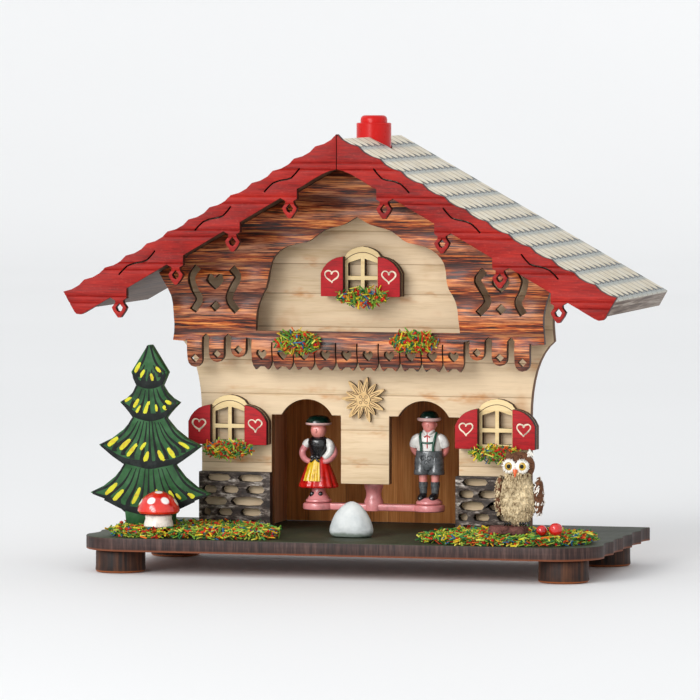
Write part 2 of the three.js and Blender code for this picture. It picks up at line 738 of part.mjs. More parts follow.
function buildWoman(x, z) {
  const dome = [[0, 0], [4.9, 0], [4.5, 1.2], [3, 2.2], [0, 2.6]];
  const legs = [[0, 1.8], [2.2, 1.8], [2, 6.4], [0, 6.4]];
  const skirt = [[0, 5.4], [7.2, 5.6], [7.4, 6.6], [5.4, 12.4], [3.2, 16.4], [0, 17]];
  const torso = [[0, 16], [3, 16], [3.7, 20.4], [3.9, 23], [2, 24.6], [0, 24.8]];
  const hat = [[0, 29.4], [4.9, 29.5], [4.9, 30.1], [3.6, 31.4], [1.8, 32.4], [0, 32.7]];
  add('woman_figure', joined([
    oblong(turned(dome, 12), 1, x, z),
    oblong(turned(legs, 8), 0.8, x, z),
    oblong(turned(skirt, 14), 0.82, x, z),
    oblong(turned(torso, 10), 0.72, x, z),
    ...arms(x, z + 22.6, 6.6),
    ball(3.4, 3.3, 3.6, x, pivotY, z + 27, 10, 6),
    oblong(turned(hat, 12), 1, x, z),
  ]), pinkPlastic);
}

function buildMan(x, z) {
  const dome = [[0, 0], [5, 0], [4.6, 1.2], [3.2, 2.2], [0, 2.6]];
  const shorts = [[0, 10.6], [5.8, 10.6], [5.6, 14], [4.6, 19.4], [0, 19.8]];
  const torso = [[0, 18.6], [4.4, 18.6], [4.8, 23.4], [4.2, 26], [2, 27.2], [0, 27.4]];
  const hat = [[0, 31.2], [4.5, 31.4], [4.5, 32], [3, 32.6], [2.6, 34.4], [0, 35]];
  const pieces = [
    oblong(turned(dome, 12), 1, x, z),
    oblong(turned(shorts, 12), 0.66, x, z),
    oblong(turned(torso, 10), 0.62, x, z),
    ...arms(x, z + 25, 6.6),
    ball(2.8, 2.8, 3.3, x, pivotY, z + 29.6, 10, 6),
    oblong(turned(hat, 12), 1, x, z),
  ];
  for (const side of [-1, 1]) {
    pieces.push(rod([x + side * 2.4, pivotY, z + 1.6], [x + side * 2.6, pivotY, z + 11.4], 1.6, 6));
    pieces.push(ball(1.7, 2.8, 1.5, x + side * 2.6, pivotY - 1, z + 2.8, 8, 6));
  }
  add('man_figure', joined(pieces), pinkPlastic);
}

buildBase();
buildFrontWall();
buildGableBoard();
buildBargeboards();
buildRoof();
buildInnerBox();
buildStonePanels();
buildWindow('top', 0, windowTopFloor);
buildWindow('low_left', -windowLowX, windowLowFloor);
buildWindow('low_right', windowLowX, windowLowFloor);
buildFlowers();
buildEdelweiss();
buildTree();
buildBaseFigures();
buildOwl();
buildKnob();
buildBeam();

export default model;
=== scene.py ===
import math
import random
import bmesh
import bpy
from mathutils import Matrix, Vector, noise


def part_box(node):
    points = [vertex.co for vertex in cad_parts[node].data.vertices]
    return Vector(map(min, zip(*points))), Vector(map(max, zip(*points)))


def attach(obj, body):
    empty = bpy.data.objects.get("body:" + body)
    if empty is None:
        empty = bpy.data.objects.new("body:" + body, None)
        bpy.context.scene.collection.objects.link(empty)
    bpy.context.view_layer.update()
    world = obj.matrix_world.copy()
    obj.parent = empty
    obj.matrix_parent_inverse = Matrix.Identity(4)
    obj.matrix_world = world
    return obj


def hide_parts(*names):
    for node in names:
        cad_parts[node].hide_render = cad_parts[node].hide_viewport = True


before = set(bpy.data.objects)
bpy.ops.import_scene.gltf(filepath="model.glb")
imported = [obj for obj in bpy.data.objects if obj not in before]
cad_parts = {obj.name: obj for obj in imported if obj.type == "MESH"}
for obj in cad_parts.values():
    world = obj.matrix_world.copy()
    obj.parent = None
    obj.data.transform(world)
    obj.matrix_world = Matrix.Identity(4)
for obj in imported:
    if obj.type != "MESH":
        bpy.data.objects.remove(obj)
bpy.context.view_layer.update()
mm = 0.001
slopeShare = 58.5 / 104.4  # roof rise over half width
slopeAngle = math.atan(slopeShare)
wallGrooves = (38.5, 51.2, 64.3, 77, 89.6, 102, 113.1, 125.4, 137.8)


# camera, floor and light
studio = {
    "place": (0.5538, -2.1022, 0.1957), "tiltDown": 3.018, "turn": 14.919, "lens": 301,
    "floorTone": 0.9, "floorRadius": 3.0, "cove": 0.8, "skyStrength": 0.8,
    "sunPower": 0.8, "sunSoftness": 30, "sunPlace": (-0.75, -1.6, 0.88),
}
lamps = [
    # name, place, aim, size, watts
    ("keyLamp", (-0.75, -1.25, 0.75), (0, 0, 0.09), 0.5, 3),
    ("frontLamp", (-0.42, -1.7, 0.45), (0, 0, 0.08), 0.7, 8),
]


def aimed(place, aim):
    return (Vector(aim) - Vector(place)).to_track_quat("-Z", "Y").to_euler()


def link(obj):
    bpy.context.scene.collection.objects.link(obj)
    return obj


camData = bpy.data.cameras.new("camera")
camData.lens, camData.sensor_width = studio["lens"], 36
camData.clip_start, camData.clip_end = 0.05, 30
camera = link(bpy.data.objects.new("camera", camData))
camera.location = studio["place"]
camera.rotation_euler = (math.radians(90 - studio["tiltDown"]), 0, math.radians(studio["turn"]))
bpy.context.scene.camera = camera
bpy.context.scene.view_settings.view_transform = "Standard"
for lampName, place, aim, size, watts in lamps:
    lamp = bpy.data.lights.new(lampName, "AREA")
    lamp.shape, lamp.size, lamp.energy = "DISK", size, watts
    lampObj = link(bpy.data.objects.new(lampName, lamp))
    lampObj.location, lampObj.rotation_euler = place, aimed(place, aim)
sun = bpy.data.lights.new("softSun", "SUN")
sun.energy, sun.angle = studio["sunPower"], math.radians(studio["sunSoftness"])
sunObj = link(bpy.data.objects.new("softSun", sun))
sunObj.rotation_euler = aimed(studio["sunPlace"], (0, 0, 0))
world = bpy.data.worlds.new("softSky")
world.use_nodes = True
world.node_tree.nodes["Background"].inputs["Color"].default_value = (0.97, 0.985, 1, 1)
world.node_tree.nodes["Background"].inputs["Strength"].default_value = studio["skyStrength"]
bpy.context.scene.world = world
print("camera and light")


# shader wiring
class Wire:  # a socket that takes part in sums
    def __init__(self, paint, socket):
        self.paint, self.socket = paint, socket

    def maths(self, operation, *values):
        return self.paint.node("ShaderNodeMath", {"operation": operation}, dict(enumerate(values)))

    def __add__(self, other):
        return self.maths("ADD", self, other)

    def __radd__(self, other):
        return self.maths("ADD", other, self)

    def __sub__(self, other):
        return self.maths("SUBTRACT", self, other)

    def __rsub__(self, other):
        return self.maths("SUBTRACT", other, self)

    def __mul__(self, other):
        return self.maths("MULTIPLY", self, other)

    def __rmul__(self, other):
        return self.maths("MULTIPLY", other, self)

    def __truediv__(self, other):
        return self.maths("DIVIDE", self, other)

    def __gt__(self, other):
        return self.maths("GREATER_THAN", self, other)

    def __lt__(self, other):
        return self.maths("LESS_THAN", self, other)

    def __abs__(self):
        return self.maths("ABSOLUTE", self)


def tone(red, green, blue):  # screen colour 0..255 to the renderer's linear colour
    def straight(part):
        part /= 255
        return part / 12.92 if part <= 0.04045 else ((part + 0.055) / 1.055) ** 2.4
    return (straight(red), straight(green), straight(blue), 1)


class Paint:  # one material under construction
    def __init__(self, name, **fixed):
        self.material = bpy.data.materials.new(name)
        self.material.use_nodes = True
        self.tree = self.material.node_tree
        self.shader = self.tree.nodes["Principled BSDF"]
        self.coords = None
        for key, value in fixed.items():
            self.shader.inputs[key.replace("_", " ")].default_value = value

    def node(self, kind, settings=None, values=None, output=0):
        made = self.tree.nodes.new(kind)
        for key, value in (settings or {}).items():
            if key == "stops":
                while len(made.color_ramp.elements) < len(value):
                    made.color_ramp.elements.new(0.5)
                for element, (spot, colour) in zip(made.color_ramp.elements, value):
                    element.position, element.color = spot, colour
            else:
                setattr(made, key, value)
        for key, value in (values or {}).items():
            if isinstance(value, Wire):
                self.tree.links.new(value.socket, made.inputs[key])
            elif value is not None:
                made.inputs[key].default_value = value
        return Wire(self, made.outputs[output])

    def place(self):  # object coordinates
        if self.coords is None:
            self.coords = self.node("ShaderNodeTexCoord", output="Object")
        return self.coords

    def xyz(self, vector=None):
        vector = vector or self.place()
        return [self.node("ShaderNodeSeparateXYZ", None, {0: vector}, axis) for axis in range(3)]

    def facing(self):  # the surface's direction in the object's own axes
        return self.xyz(self.node("ShaderNodeTexCoord", output="Normal"))

    def point(self, x, y, z):
        return self.node("ShaderNodeCombineXYZ", None, {0: x, 1: y, 2: z})

    def stretched(self, scale, vector=None):
        return self.node("ShaderNodeMapping", None, {0: vector or self.place(), 3: scale})

    def clouds(self, scale, detail=3, rough=0.55, vector=None, warp=0.0):
        return self.node("ShaderNodeTexNoise", None, {
            0: self.stretched(scale, vector), "Scale": 1, "Detail": detail, "Roughness": rough, "Distortion": warp,
        })

    def cells(self, scale, feature="F1", vector=None):
        return self.node("ShaderNodeTexVoronoi", {"feature": feature}, {0: self.stretched(scale, vector), "Scale": 1})

    def ramp(self, factor, *stops):
        return self.node("ShaderNodeValToRGB", {"stops": stops}, {0: factor})

    def between(self, value, low, high):  # 0 below low, 1 above high, smooth in the middle
        return self.node("ShaderNodeMapRange", {"interpolation_type": "SMOOTHSTEP"}, {0: value, 1: low, 2: high})

    def mix(self, factor, first, second, mode="MIX"):
        return self.node("ShaderNodeMix", {"data_type": "RGBA", "blend_type": mode}, {0: factor, 6: first, 7: second}, 2)

    def bump(self, height, depth, strength=1.0, under=None):
        return self.node("ShaderNodeBump", None, {"Strength": strength, "Distance": depth, "Height": height, "Normal": under})

    def done(self, **varying):
        for key, value in varying.items():
            self.tree.links.new(value.socket, self.shader.inputs[key.replace("_", " ")])
        return self.material


# finishes
def plyFace(name, light, dark, stainAmount=0.0, edge=(120, 80, 45), along=(16, 260, 260), grooves=()):
    paint = Paint(name, Roughness=0.6, Specular_IOR_Level=0.35)
    broad = paint.clouds(along, 4, 0.6, warp=0.6)
    pores = paint.clouds((along[0] * 9, along[1] * 7, along[2] * 7), 2, 0.6)
    streak = broad * 0.72 + pores * 0.28
    colour = paint.ramp(streak, (0.3, tone(*dark)), (0.52, tone(*light)), (0.8, tone(*[min(255, c + 12) for c in light])))
    if stainAmount:
        stain = paint.between(paint.clouds((46, 46, 46), 3, 0.6), 0.56, 0.74) * stainAmount
        colour = paint.mix(stain, colour, tone(214, 160, 92), "MULTIPLY")
    cut = 1 - paint.between(abs(paint.facing()[1]), 0.6, 0.9)
    x, y, z = paint.xyz()
    if grooves:  # a fine burnt line in each groove and amber scorch beside it
        away = 1
        for groove in grooves:
            away = z.maths("MINIMUM", away, abs(z - groove * mm))
        scorch = paint.between(paint.clouds((34, 34, 90), 4, 0.65), 0.53, 0.68) * (1 - paint.between(away, 0.0004, 0.0042))
        colour = paint.mix(scorch * 0.8, colour, tone(222, 160, 84), "MULTIPLY")
        line = (1 - paint.between(away, 0.00006, 0.00026)) * (0.25 + broad * 0.6)
        colour = paint.mix(line, colour, tone(126, 88, 52))
    layers = paint.between(paint.node("ShaderNodeMath", {"operation": "PINGPONG"}, {0: y, 1: 0.0009}), 0.0003, 0.0006)
    edgeTone = paint.mix(layers * 0.35, tone(*edge), tone(*[c * 0.62 for c in edge]))
    colour = paint.mix(cut, colour, edgeTone)
    return paint.done(Base_Color=colour, Normal=paint.bump(pores, 0.00012, 0.5), Roughness=0.5 + streak * 0.25)


boards = {"gableDepth": 1.1 * mm, "grooveDepth": 0.2 * mm, "beadDepth": 0.45 * mm, "edge": 0.22 * mm,
          "base": 125.4 * mm, "pitch": 12.45 * mm}


def gableFinish():
    paint = Paint("gableStain", Specular_IOR_Level=0.3, Coat_Roughness=0.24)
    wander = paint.clouds((12, 16, 26), 2, 0.5)
    x, y, z = paint.xyz()
    grainSpot = paint.point(x, y, z + wander * 0.004)
    broad = paint.clouds((38, 80, 300), 4, 0.6, grainSpot, 0.3)
    fine = paint.clouds((110, 600, 2600), 3, 0.7, grainSpot)
    vein = paint.clouds((44, 60, 1200), 3, 0.65, grainSpot, 0.2)
    patches = paint.clouds((20, 50, 80), 3, 0.6)
    streak = paint.between(broad * 0.26 + fine * 0.36 + vein * 0.38, 0.4, 0.6)
    warm = paint.ramp(streak, (0.04, tone(26, 10, 5)), (0.2, tone(80, 30, 12)), (0.42, tone(142, 54, 14)),
                      (0.68, tone(194, 90, 28)), (0.94, tone(238, 152, 78)))
    cool = paint.ramp(streak, (0.04, tone(22, 9, 7)), (0.26, tone(74, 30, 16)), (0.58, tone(128, 58, 30)), (0.94, tone(190, 118, 80)))
    colour = paint.mix(paint.between(patches, 0.42, 0.62), warm, cool)
    away = abs(paint.node("ShaderNodeMath", {"operation": "PINGPONG"}, {0: z - boards["base"] + boards["pitch"] * 12, 1: boards["pitch"] / 2}))
    colour = paint.mix((1 - paint.between(away, 0.0002, 0.0024)) * 0.6, colour, tone(58, 24, 12))  # painted shade darkening the grooves between the bulges
    # painted highlight: a pale pinkish sheen painted along the middle of each bulge, where the lamp's reflection would
    # fall
    painted_sheen = paint.between(away, 0.0034, 0.0058) * paint.between(fine * 0.6 + broad * 0.4, 0.4, 0.58)
    colour = paint.mix(painted_sheen * 0.42, colour, tone(218, 150, 104))
    cut = 1 - paint.between(abs(paint.facing()[1]), 0.35, 0.6)
    colour = paint.mix(cut * 0.92, colour, tone(52, 26, 15))
    return paint.done(Base_Color=colour, Roughness=0.3 + fine * 0.3, Coat_Weight=(1 - cut) * 0.26,
                      Normal=paint.bump(streak, 0.00016, 0.45))


def bargeFinish():
    paint = Paint("bargeStain", Specular_IOR_Level=0.25)
    broad = paint.clouds((20, 90, 160), 4, 0.6, warp=0.5)
    fine = paint.clouds((160, 1400, 1900), 2, 0.6)
    speck = paint.clouds((900, 900, 1500), 2, 0.7)
    streak = broad * 0.55 + fine * 0.45
    colour = paint.ramp(streak, (0.32, tone(92, 8, 4)), (0.5, tone(144, 18, 11)), (0.68, tone(176, 36, 24)))
    colour = paint.mix(paint.between(speck, 0.55, 0.75) * 0.25, colour, tone(186, 78, 66))
    cut = 1 - paint.between(abs(paint.facing()[1]), 0.35, 0.6)
    colour = paint.mix(cut * 0.9, colour, tone(52, 20, 14))
    return paint.done(Base_Color=colour, Roughness=0.42 + fine * 0.25,
                      Normal=paint.bump(fine, 0.0001, 0.5))


def tileFinish():
    paint = Paint("printedTiles", Roughness=0.55, Specular_IOR_Level=0.3)
    x, y, z = paint.xyz()
    sideways = abs(x)
    down = sideways * math.cos(slopeAngle) - (z - 0.1603) * math.sin(slopeAngle)  # along the slope from the ridge
    above = (z - 0.1603) + sideways * slopeShare  # height over the slab's top plane
    rowPitch, tileWidth = 0.0092, 0.0085
    rowAt = (down + 0.0022) / rowPitch
    row = rowAt.maths("FLOOR", rowAt)
    v = rowAt - row
    half = row.maths("FLOORED_MODULO", row, 2) * 0.5
    across = (y + 0.048) / tileWidth + half
    u = across.maths("FRACT", across)
    off = abs(u - 0.5) * 2  # 0 at the tile's middle, 1 at its edge
    tip = 0.94 - off.maths("POWER", off, 2.2) * 0.3
    inTile = paint.between(tip - v, -0.01, 0.015)
    joint = paint.between(off, 0.8, 0.95) * paint.between(v, 0.02, 0.1)
    outline = paint.between(0.05 - abs(tip - v), 0, 0.035)
    spot = paint.between(off, 0.6, 0.86) * paint.between(v, 0.58, 0.72) * (1 - inTile)
    shadow = 1 - paint.between(v, 0.05, 0.3)
    blot = paint.clouds((240, 240, 240), 3, 0.6)
    nextOff = 1 - off
    wear = paint.clouds((60, 700, 60), 3, 0.6)
    cream = paint.ramp(blot * 0.5 + wear * 0.5, (0.35, tone(214, 200, 172)), (0.52, tone(232, 222, 200)), (0.7, tone(242, 238, 226)))
    under = paint.mix(blot, tone(158, 166, 166), tone(188, 192, 186))
    colour = paint.mix(shadow * 0.9, cream, under)
    below = paint.mix(paint.between(nextOff, 0.84, 0.96) * 0.6, under, tone(118, 112, 104))
    colour = paint.mix(1 - inTile, colour, below)
    colour = paint.mix(joint * 0.7, colour, tone(140, 124, 106))
    colour = paint.mix(outline * 0.75, colour, tone(92, 84, 80))
    colour = paint.mix(spot * 0.92, colour, tone(58, 60, 64))
    top = paint.between(above, -0.0009, -0.0003)
    grain = paint.clouds((900, 30, 900), 3, 0.65)
    # the soffit's dark brown is partly the wood's own tone and partly painted shade under the eaves
    wood = paint.ramp(grain, (0.35, tone(62, 42, 30)), (0.6, tone(98, 72, 54)))
    eave = paint.between(paint.facing()[2], -0.75, -0.5)  # the cut ends are paler than the soffit
    wood = paint.mix(eave, wood, paint.ramp(grain, (0.38, tone(84, 68, 58)), (0.5, tone(128, 112, 100)), (0.62, tone(176, 164, 152))))
    colour = paint.mix(top, wood, colour)
    return paint.done(Base_Color=colour, Normal=paint.bump(inTile + blot * 0.2, 0.0001, 0.35))


def paintFilm(name, colour, rough=0.35, coat=0.3, patch=0.18, scale=300, bump=0.00008, dark=None, gloss=0.5):
    # brushed paint or moulded plastic: colour drifts, gloss varies and the skin is never dead flat
    paint = Paint(name, Specular_IOR_Level=gloss, Coat_Weight=coat, Coat_Roughness=0.12)
    drift = paint.clouds((scale, scale, scale), 3, 0.6)
    skin = paint.clouds((scale * 5, scale * 5, scale * 3), 2, 0.5)
    deep = tone(*(dark or [c * (1 - patch * 1.6) for c in colour]))
    pale = tone(*[min(255, c + (255 - c) * patch * 0.5) for c in colour])
    shade = paint.ramp(drift, (0.3, deep), (0.5, tone(*colour)), (0.72, pale))
    return paint.done(Base_Color=shade, Roughness=rough + (skin - 0.5) * 0.18, Normal=paint.bump(drift * 0.7 + skin * 0.3, bump, 0.5))


def stoneFinish():
    paint = Paint("stoneWood", Specular_IOR_Level=0.4)
    fleck = paint.clouds((300, 420, 900), 4, 0.7)
    worn = paint.clouds((90, 150, 420), 3, 0.65)
    colour = paint.ramp(fleck * 0.5 + worn * 0.5, (0.38, tone(26, 17, 12)), (0.49, tone(58, 45, 38)), (0.55, tone(122, 110, 100)), (0.63, tone(208, 200, 190)))
    cut = 1 - paint.between(abs(paint.facing()[1]), 0.8, 0.98)
    colour = paint.mix(cut * 0.95, colour, tone(24, 15, 11))
    return paint.done(Base_Color=colour, Roughness=0.42 + fleck * 0.3, Normal=paint.bump(fleck, 0.0002, 0.6))


def baseFinish():
    paint = Paint("baseGreen", Specular_IOR_Level=0.4)
    x, y, z = paint.xyz()
    drift = paint.clouds((50, 50, 50), 4, 0.6)
    fine = paint.clouds((500, 90, 500), 3, 0.6)
    green = paint.ramp(drift * 0.5 + fine * 0.5, (0.34, tone(40, 46, 32)), (0.55, tone(58, 64, 46)), (0.75, tone(84, 92, 72)))
    saw = paint.clouds((900, 900, 60), 3, 0.65)
    laminate = paint.clouds((20, 20, 900), 2, 0.5)
    brown = paint.ramp(saw * 0.85 + laminate * 0.15, (0.34, tone(28, 14, 11)), (0.52, tone(56, 34, 29)), (0.72, tone(92, 66, 58)))
    rim = paint.between(z, 0.0085, 0.0093)
    brown = paint.mix(1 - rim, brown, tone(126, 66, 34))
    top = paint.between(z, 0.01305, 0.0132)
    colour = paint.mix(top, brown, green)
    return paint.done(Base_Color=colour, Roughness=0.45 + fine * 0.25, Normal=paint.bump(saw, 0.00012, 0.5))


def footFinish():
    paint = Paint("footBark", Specular_IOR_Level=0.35)
    x, y, z = paint.xyz()
    flute = paint.clouds((620, 620, 26), 3, 0.65)
    patch = paint.clouds((110, 110, 60), 3, 0.6)
    colour = paint.ramp(flute * 0.6 + patch * 0.4, (0.36, tone(22, 13, 10)), (0.5, tone(56, 32, 21)), (0.64, tone(96, 58, 34)))
    rim = 1 - paint.between(z, 0.0003, 0.0009)
    colour = paint.mix(rim, colour, tone(156, 86, 40))
    return paint.done(Base_Color=colour, Roughness=0.5 + flute * 0.25, Normal=paint.bump(flute, 0.0003, 0.7))


def innerFinish(name, dark, light):
    paint = Paint(name, Roughness=0.6, Specular_IOR_Level=0.35)
    broad = paint.clouds((260, 260, 14), 4, 0.62, warp=0.6)
    fine = paint.clouds((2200, 2200, 60), 3, 0.6)
    colour = paint.ramp(broad * 0.6 + fine * 0.4, (0.34, tone(*[c * 0.72 for c in dark])), (0.47, tone(*dark)), (0.66, tone(*light)))
    return paint.done(Base_Color=colour, Roughness=0.5 + fine * 0.2, Normal=paint.bump(fine, 0.00012, 0.5))


def foamFinish():
    # every shred carries its own number, which picks its dye
    paint = Paint("dyedFoam", Roughness=0.85, Specular_IOR_Level=0.2)
    dye = paint.node("ShaderNodeAttribute", {"attribute_name": "dye"}, None, "Fac")
    greens = [(44, 112, 50), (104, 156, 58), (150, 186, 74), (70, 136, 78), (128, 168, 52), (188, 204, 84)]
    others = [(240, 212, 50), (214, 168, 44), (214, 60, 34), (230, 110, 40), (190, 38, 34), (58, 114, 160), (232, 224, 96)]
    tones = greens + others
    stops = [(i / len(tones), tone(*c)) for i, c in enumerate(tones)]
    picked = paint.node("ShaderNodeValToRGB", {"stops": stops}, {0: dye})
    picked.socket.node.color_ramp.interpolation = "CONSTANT"
    sponge = paint.clouds((1700, 1700, 1700), 2, 0.6)
    colour = paint.mix(0.35, picked, paint.ramp(sponge, (0.3, (0.4, 0.4, 0.4, 1)), (0.6, (1, 1, 1, 1))), "MULTIPLY")
    return paint.done(Base_Color=colour, Normal=paint.bump(sponge, 0.0003, 0.7))


def rockFinish():
    paint = Paint("pebble", Specular_IOR_Level=0.45)
    x, y, z = paint.xyz()
    vein = paint.clouds((120, 120, 120), 4, 0.6)
    colour = paint.ramp(vein, (0.35, tone(184, 190, 190)), (0.5, tone(208, 212, 211)), (0.7, tone(228, 230, 227)))
    smear = paint.between(vein * 0.006 - z, -0.0128, -0.0112)
    colour = paint.mix(smear * 0.75, colour, tone(84, 104, 84))
    return paint.done(Base_Color=colour, Roughness=0.35 + vein * 0.3, Normal=paint.bump(vein, 0.0004, 0.5))


def dottedRed(name, centre, radius, spots, spotSize):
    paint = Paint(name, Roughness=0.16, Specular_IOR_Level=0.5, Coat_Weight=0.8, Coat_Roughness=0.05)
    drift = paint.clouds((160, 160, 160), 3, 0.6)
    colour = paint.ramp(drift, (0.3, tone(176, 20, 16)), (0.5, tone(216, 36, 24)), (0.75, tone(232, 66, 44)))
    for turn, lift, share in spots:
        spot = Vector((math.sin(turn) * math.cos(lift), -math.cos(turn) * math.cos(lift), math.sin(lift))) * radius + Vector(centre)
        far = paint.node("ShaderNodeVectorMath", {"operation": "DISTANCE"}, {0: paint.place(), 1: spot}, "Value")
        blur = far + (drift - 0.5) * spotSize * 0.5
        colour = paint.mix(1 - paint.between(blur, spotSize * share * 0.75, spotSize * share * 1.15), colour, tone(250, 246, 240))
    return paint.done(Base_Color=colour, Normal=paint.bump(drift, 0.0001, 0.3))


def feltFinish(name, dark, light, scale=700, depth=0.0005):
    paint = Paint(name, Roughness=0.9, Specular_IOR_Level=0.15)
    fluff = paint.clouds((scale, scale, scale), 4, 0.7, warp=0.8)
    clump = paint.clouds((scale * 0.3, scale * 0.3, scale * 0.3), 3, 0.6)
    colour = paint.ramp(fluff * 0.65 + clump * 0.35, (0.36, tone(*dark)), (0.62, tone(*light)))
    return paint.done(Base_Color=colour, Normal=paint.bump(fluff, depth, 0.8))


def floorFinish():
    paint = Paint("paleFloor", Roughness=0.7, Specular_IOR_Level=0.2)
    drift = paint.clouds((2, 2, 2), 2, 0.5)
    level = studio["floorTone"]
    colour = paint.ramp(drift, (0.3, (level - 0.01,) * 3 + (1,)), (0.7, (level + 0.01,) * 3 + (1,)))
    return paint.done(Base_Color=colour)


paints = {
    "wall": plyFace("wallPly", (230, 204, 168), (206, 176, 134), 0.45, grooves=wallGrooves),
    "ledge": plyFace("ledgePly", (218, 192, 150), (192, 162, 120)),
    "window": plyFace("windowPly", (240, 214, 160), (226, 192, 134), 0.0, (70, 36, 16)),
    "star": plyFace("starPly", (226, 190, 134), (206, 164, 104), 0.4, (44, 22, 10), (60, 400, 120)),
    "gable": gableFinish(),
    "barge": bargeFinish(),
    "tiles": tileFinish(),
    "shutter": plyFace("shutterRed", (178, 16, 26), (126, 6, 14), 0.0, (58, 22, 16), (120, 900, 1100)),
    "stone": stoneFinish(),
    "base": baseFinish(),
    "foot": footFinish(),
    "back": innerFinish("innerBack", (196, 122, 60), (228, 162, 94)),
    "side": innerFinish("innerSide", (222, 168, 128), (246, 204, 168)),
    "foam": foamFinish(),
    "rock": rockFinish(),
    "cream": paintFilm("creamLine", (238, 222, 196), 0.5, 0.0),
    "scorch": paintFilm("scorchLine", (84, 46, 20), 0.7, 0.0),
    "knob": paintFilm("knobRed", (200, 8, 2), 0.3, 0.06, 0.04, 120, 0.00004, gloss=0.3),
    "pink": paintFilm("pinkPlastic", (236, 148, 148), 0.3, 0.45, 0.1, 260, 0.00006),
    "palePink": paintFilm("palePink", (240, 196, 190), 0.32, 0.4, 0.08, 260, 0.00006),
    "skin": paintFilm("pinkSkin", (238, 152, 142), 0.32, 0.4, 0.1, 400, 0.00006, (222, 112, 110)),
    "hatGreen": paintFilm("hatGreen", (10, 40, 30), 0.2, 0.6, 0.3, 300),
    "black": paintFilm("blackLacquer", (18, 17, 20), 0.25, 0.6, 0.3, 500, 0.0001),
    "white": paintFilm("whitePaint", (240, 238, 232), 0.35, 0.3, 0.08, 500, 0.0001),
    "skirtRed": paintFilm("skirtRed", (212, 24, 16), 0.22, 0.6, 0.16, 300),
    "yellow": paintFilm("apronYellow", (240, 196, 30), 0.3, 0.4, 0.14, 500, 0.0001, (206, 150, 20)),
    "grey": paintFilm("shortsGrey", (88, 92, 94), 0.24, 0.6, 0.22, 700, 0.0002),
    "braces": paintFilm("bracesGreen", (18, 84, 62), 0.3, 0.4),
    "leaf": paintFilm("treeGreen", (40, 86, 46), 0.55, 0.0, 0.2, 160, 0.0001, gloss=0.22),
    "outline": paintFilm("treeBlack", (14, 20, 18), 0.55, 0.0, gloss=0.2),
    "dab": paintFilm("treeYellow", (206, 202, 32), 0.5, 0.0, 0.1, 500, 0.0001, (196, 156, 30), 0.3),
    "stem": paintFilm("stemWhite", (240, 232, 220), 0.4, 0.3, 0.1, 300),
    "berry": paintFilm("berryRed", (206, 22, 18), 0.12, 0.9, 0.2, 200),
    "owlCream": feltFinish("owlCream", (120, 98, 68), (238, 218, 178), 460),
    "owlBrown": feltFinish("owlBrown", (66, 40, 30), (136, 92, 66)),
    "bark": feltFinish("bark", (48, 30, 28), (134, 88, 80), 320, 0.0008),
    "eyeWhite": paintFilm("eyeWhite", (244, 240, 230), 0.5, 0.2),
    "iris": paintFilm("irisOlive", (192, 152, 32), 0.3, 0.3, 0.3, 900, 0.0001, (120, 92, 24)),
    "beak": paintFilm("beakOrange", (226, 92, 24), 0.3, 0.5),
    "gut": paintFilm("gut", (206, 188, 140), 0.35, 0.3),
}
print("finishes")


# modelling helpers
def piece(bm, name, paint, body="house", stands=(), crease=38, extra=()):
    for face in bm.faces:
        face.smooth = True
    for edge in bm.edges:
        edge.smooth = len(edge.link_faces) == 2 and edge.calc_face_angle(0) < math.radians(crease)
    mesh = bpy.data.meshes.new(name)
    bm.to_mesh(mesh)
    bm.free()
    for key in (paint, *extra):
        mesh.materials.append(paints[key])
    obj = link(bpy.data.objects.new(name, mesh))
    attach(obj, body)
    if stands:
        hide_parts(*stands)
    return obj


def cadCopy(node):  # the node's shape with its loose triangles joined and flat faces merged
    bm = bmesh.new()
    bm.from_mesh(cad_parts[node].data)
    bmesh.ops.remove_doubles(bm, verts=bm.verts, dist=1e-6)
    bmesh.ops.dissolve_limit(bm, angle_limit=math.radians(0.5), verts=bm.verts, edges=bm.edges)
    return bm


def softened(bm, width, segments=2, least=30):
    edges = [e for e in bm.edges if len(e.link_faces) == 2 and e.calc_face_angle(0) > math.radians(least)]
    bmesh.ops.bevel(bm, geom=edges, offset=width, offset_type="OFFSET", segments=segments, profile=0.5,
                    affect="EDGES", material=-1, clamp_overlap=True)
    return bm


def sliced(bm, levels):
    for level in levels:
        bmesh.ops.bisect_plane(bm, geom=bm.verts[:] + bm.edges[:] + bm.faces[:], dist=1e-7,
                               plane_co=(0, 0, level), plane_no=(0, 0, 1))
    return bm


def milled(node, name, paint, front, depthAt, levels, edge=0.25 * mm):
    # a board whose front face is milled: depthAt gives how deep the face lies at each height
    bm = sliced(softened(cadCopy(node), edge), levels)
    for vert in bm.verts:
        if vert.co.y < front + 0.3 * mm:
            vert.co.y += depthAt(vert.co.z)
    bmesh.ops.triangulate(bm, faces=[f for f in bm.faces if len(f.verts) > 4])
    return piece(bm, name, paint, stands=(node,), crease=50)


def turnedShape(profile, steps=32, at=(0, 0, 0), squash=(1, 1, 1)):
    bm = bmesh.new()
    rim = [bm.verts.new((r, 0, z)) for r, z in profile]
    edges = [bm.edges.new(pair) for pair in zip(rim, rim[1:])]
    bmesh.ops.spin(bm, geom=rim + edges, cent=(0, 0, 0), axis=(0, 0, 1), angle=2 * math.pi, steps=steps, use_merge=True)
    bmesh.ops.remove_doubles(bm, verts=bm.verts, dist=1e-6)
    bmesh.ops.recalc_face_normals(bm, faces=bm.faces)
    bmesh.ops.transform(bm, matrix=Matrix.Translation(at) @ Matrix.Diagonal((*squash, 1)), verts=bm.verts)
    return bm


def joined(bm, *others):  # the others' shapes go into the first
    for other in others:
        mesh = bpy.data.meshes.new("part")
        other.to_mesh(mesh)
        other.free()
        bm.from_mesh(mesh)
        bpy.data.meshes.remove(mesh)
    return bm


def ball(bm, at, radii, around=20, rings=12, turn=None):
    matrix = Matrix.Translation(at) @ (turn or Matrix()) @ Matrix.Diagonal((*radii, 1))
    return bmesh.ops.create_uvsphere(bm, u_segments=around, v_segments=rings, radius=1, matrix=matrix)["verts"]


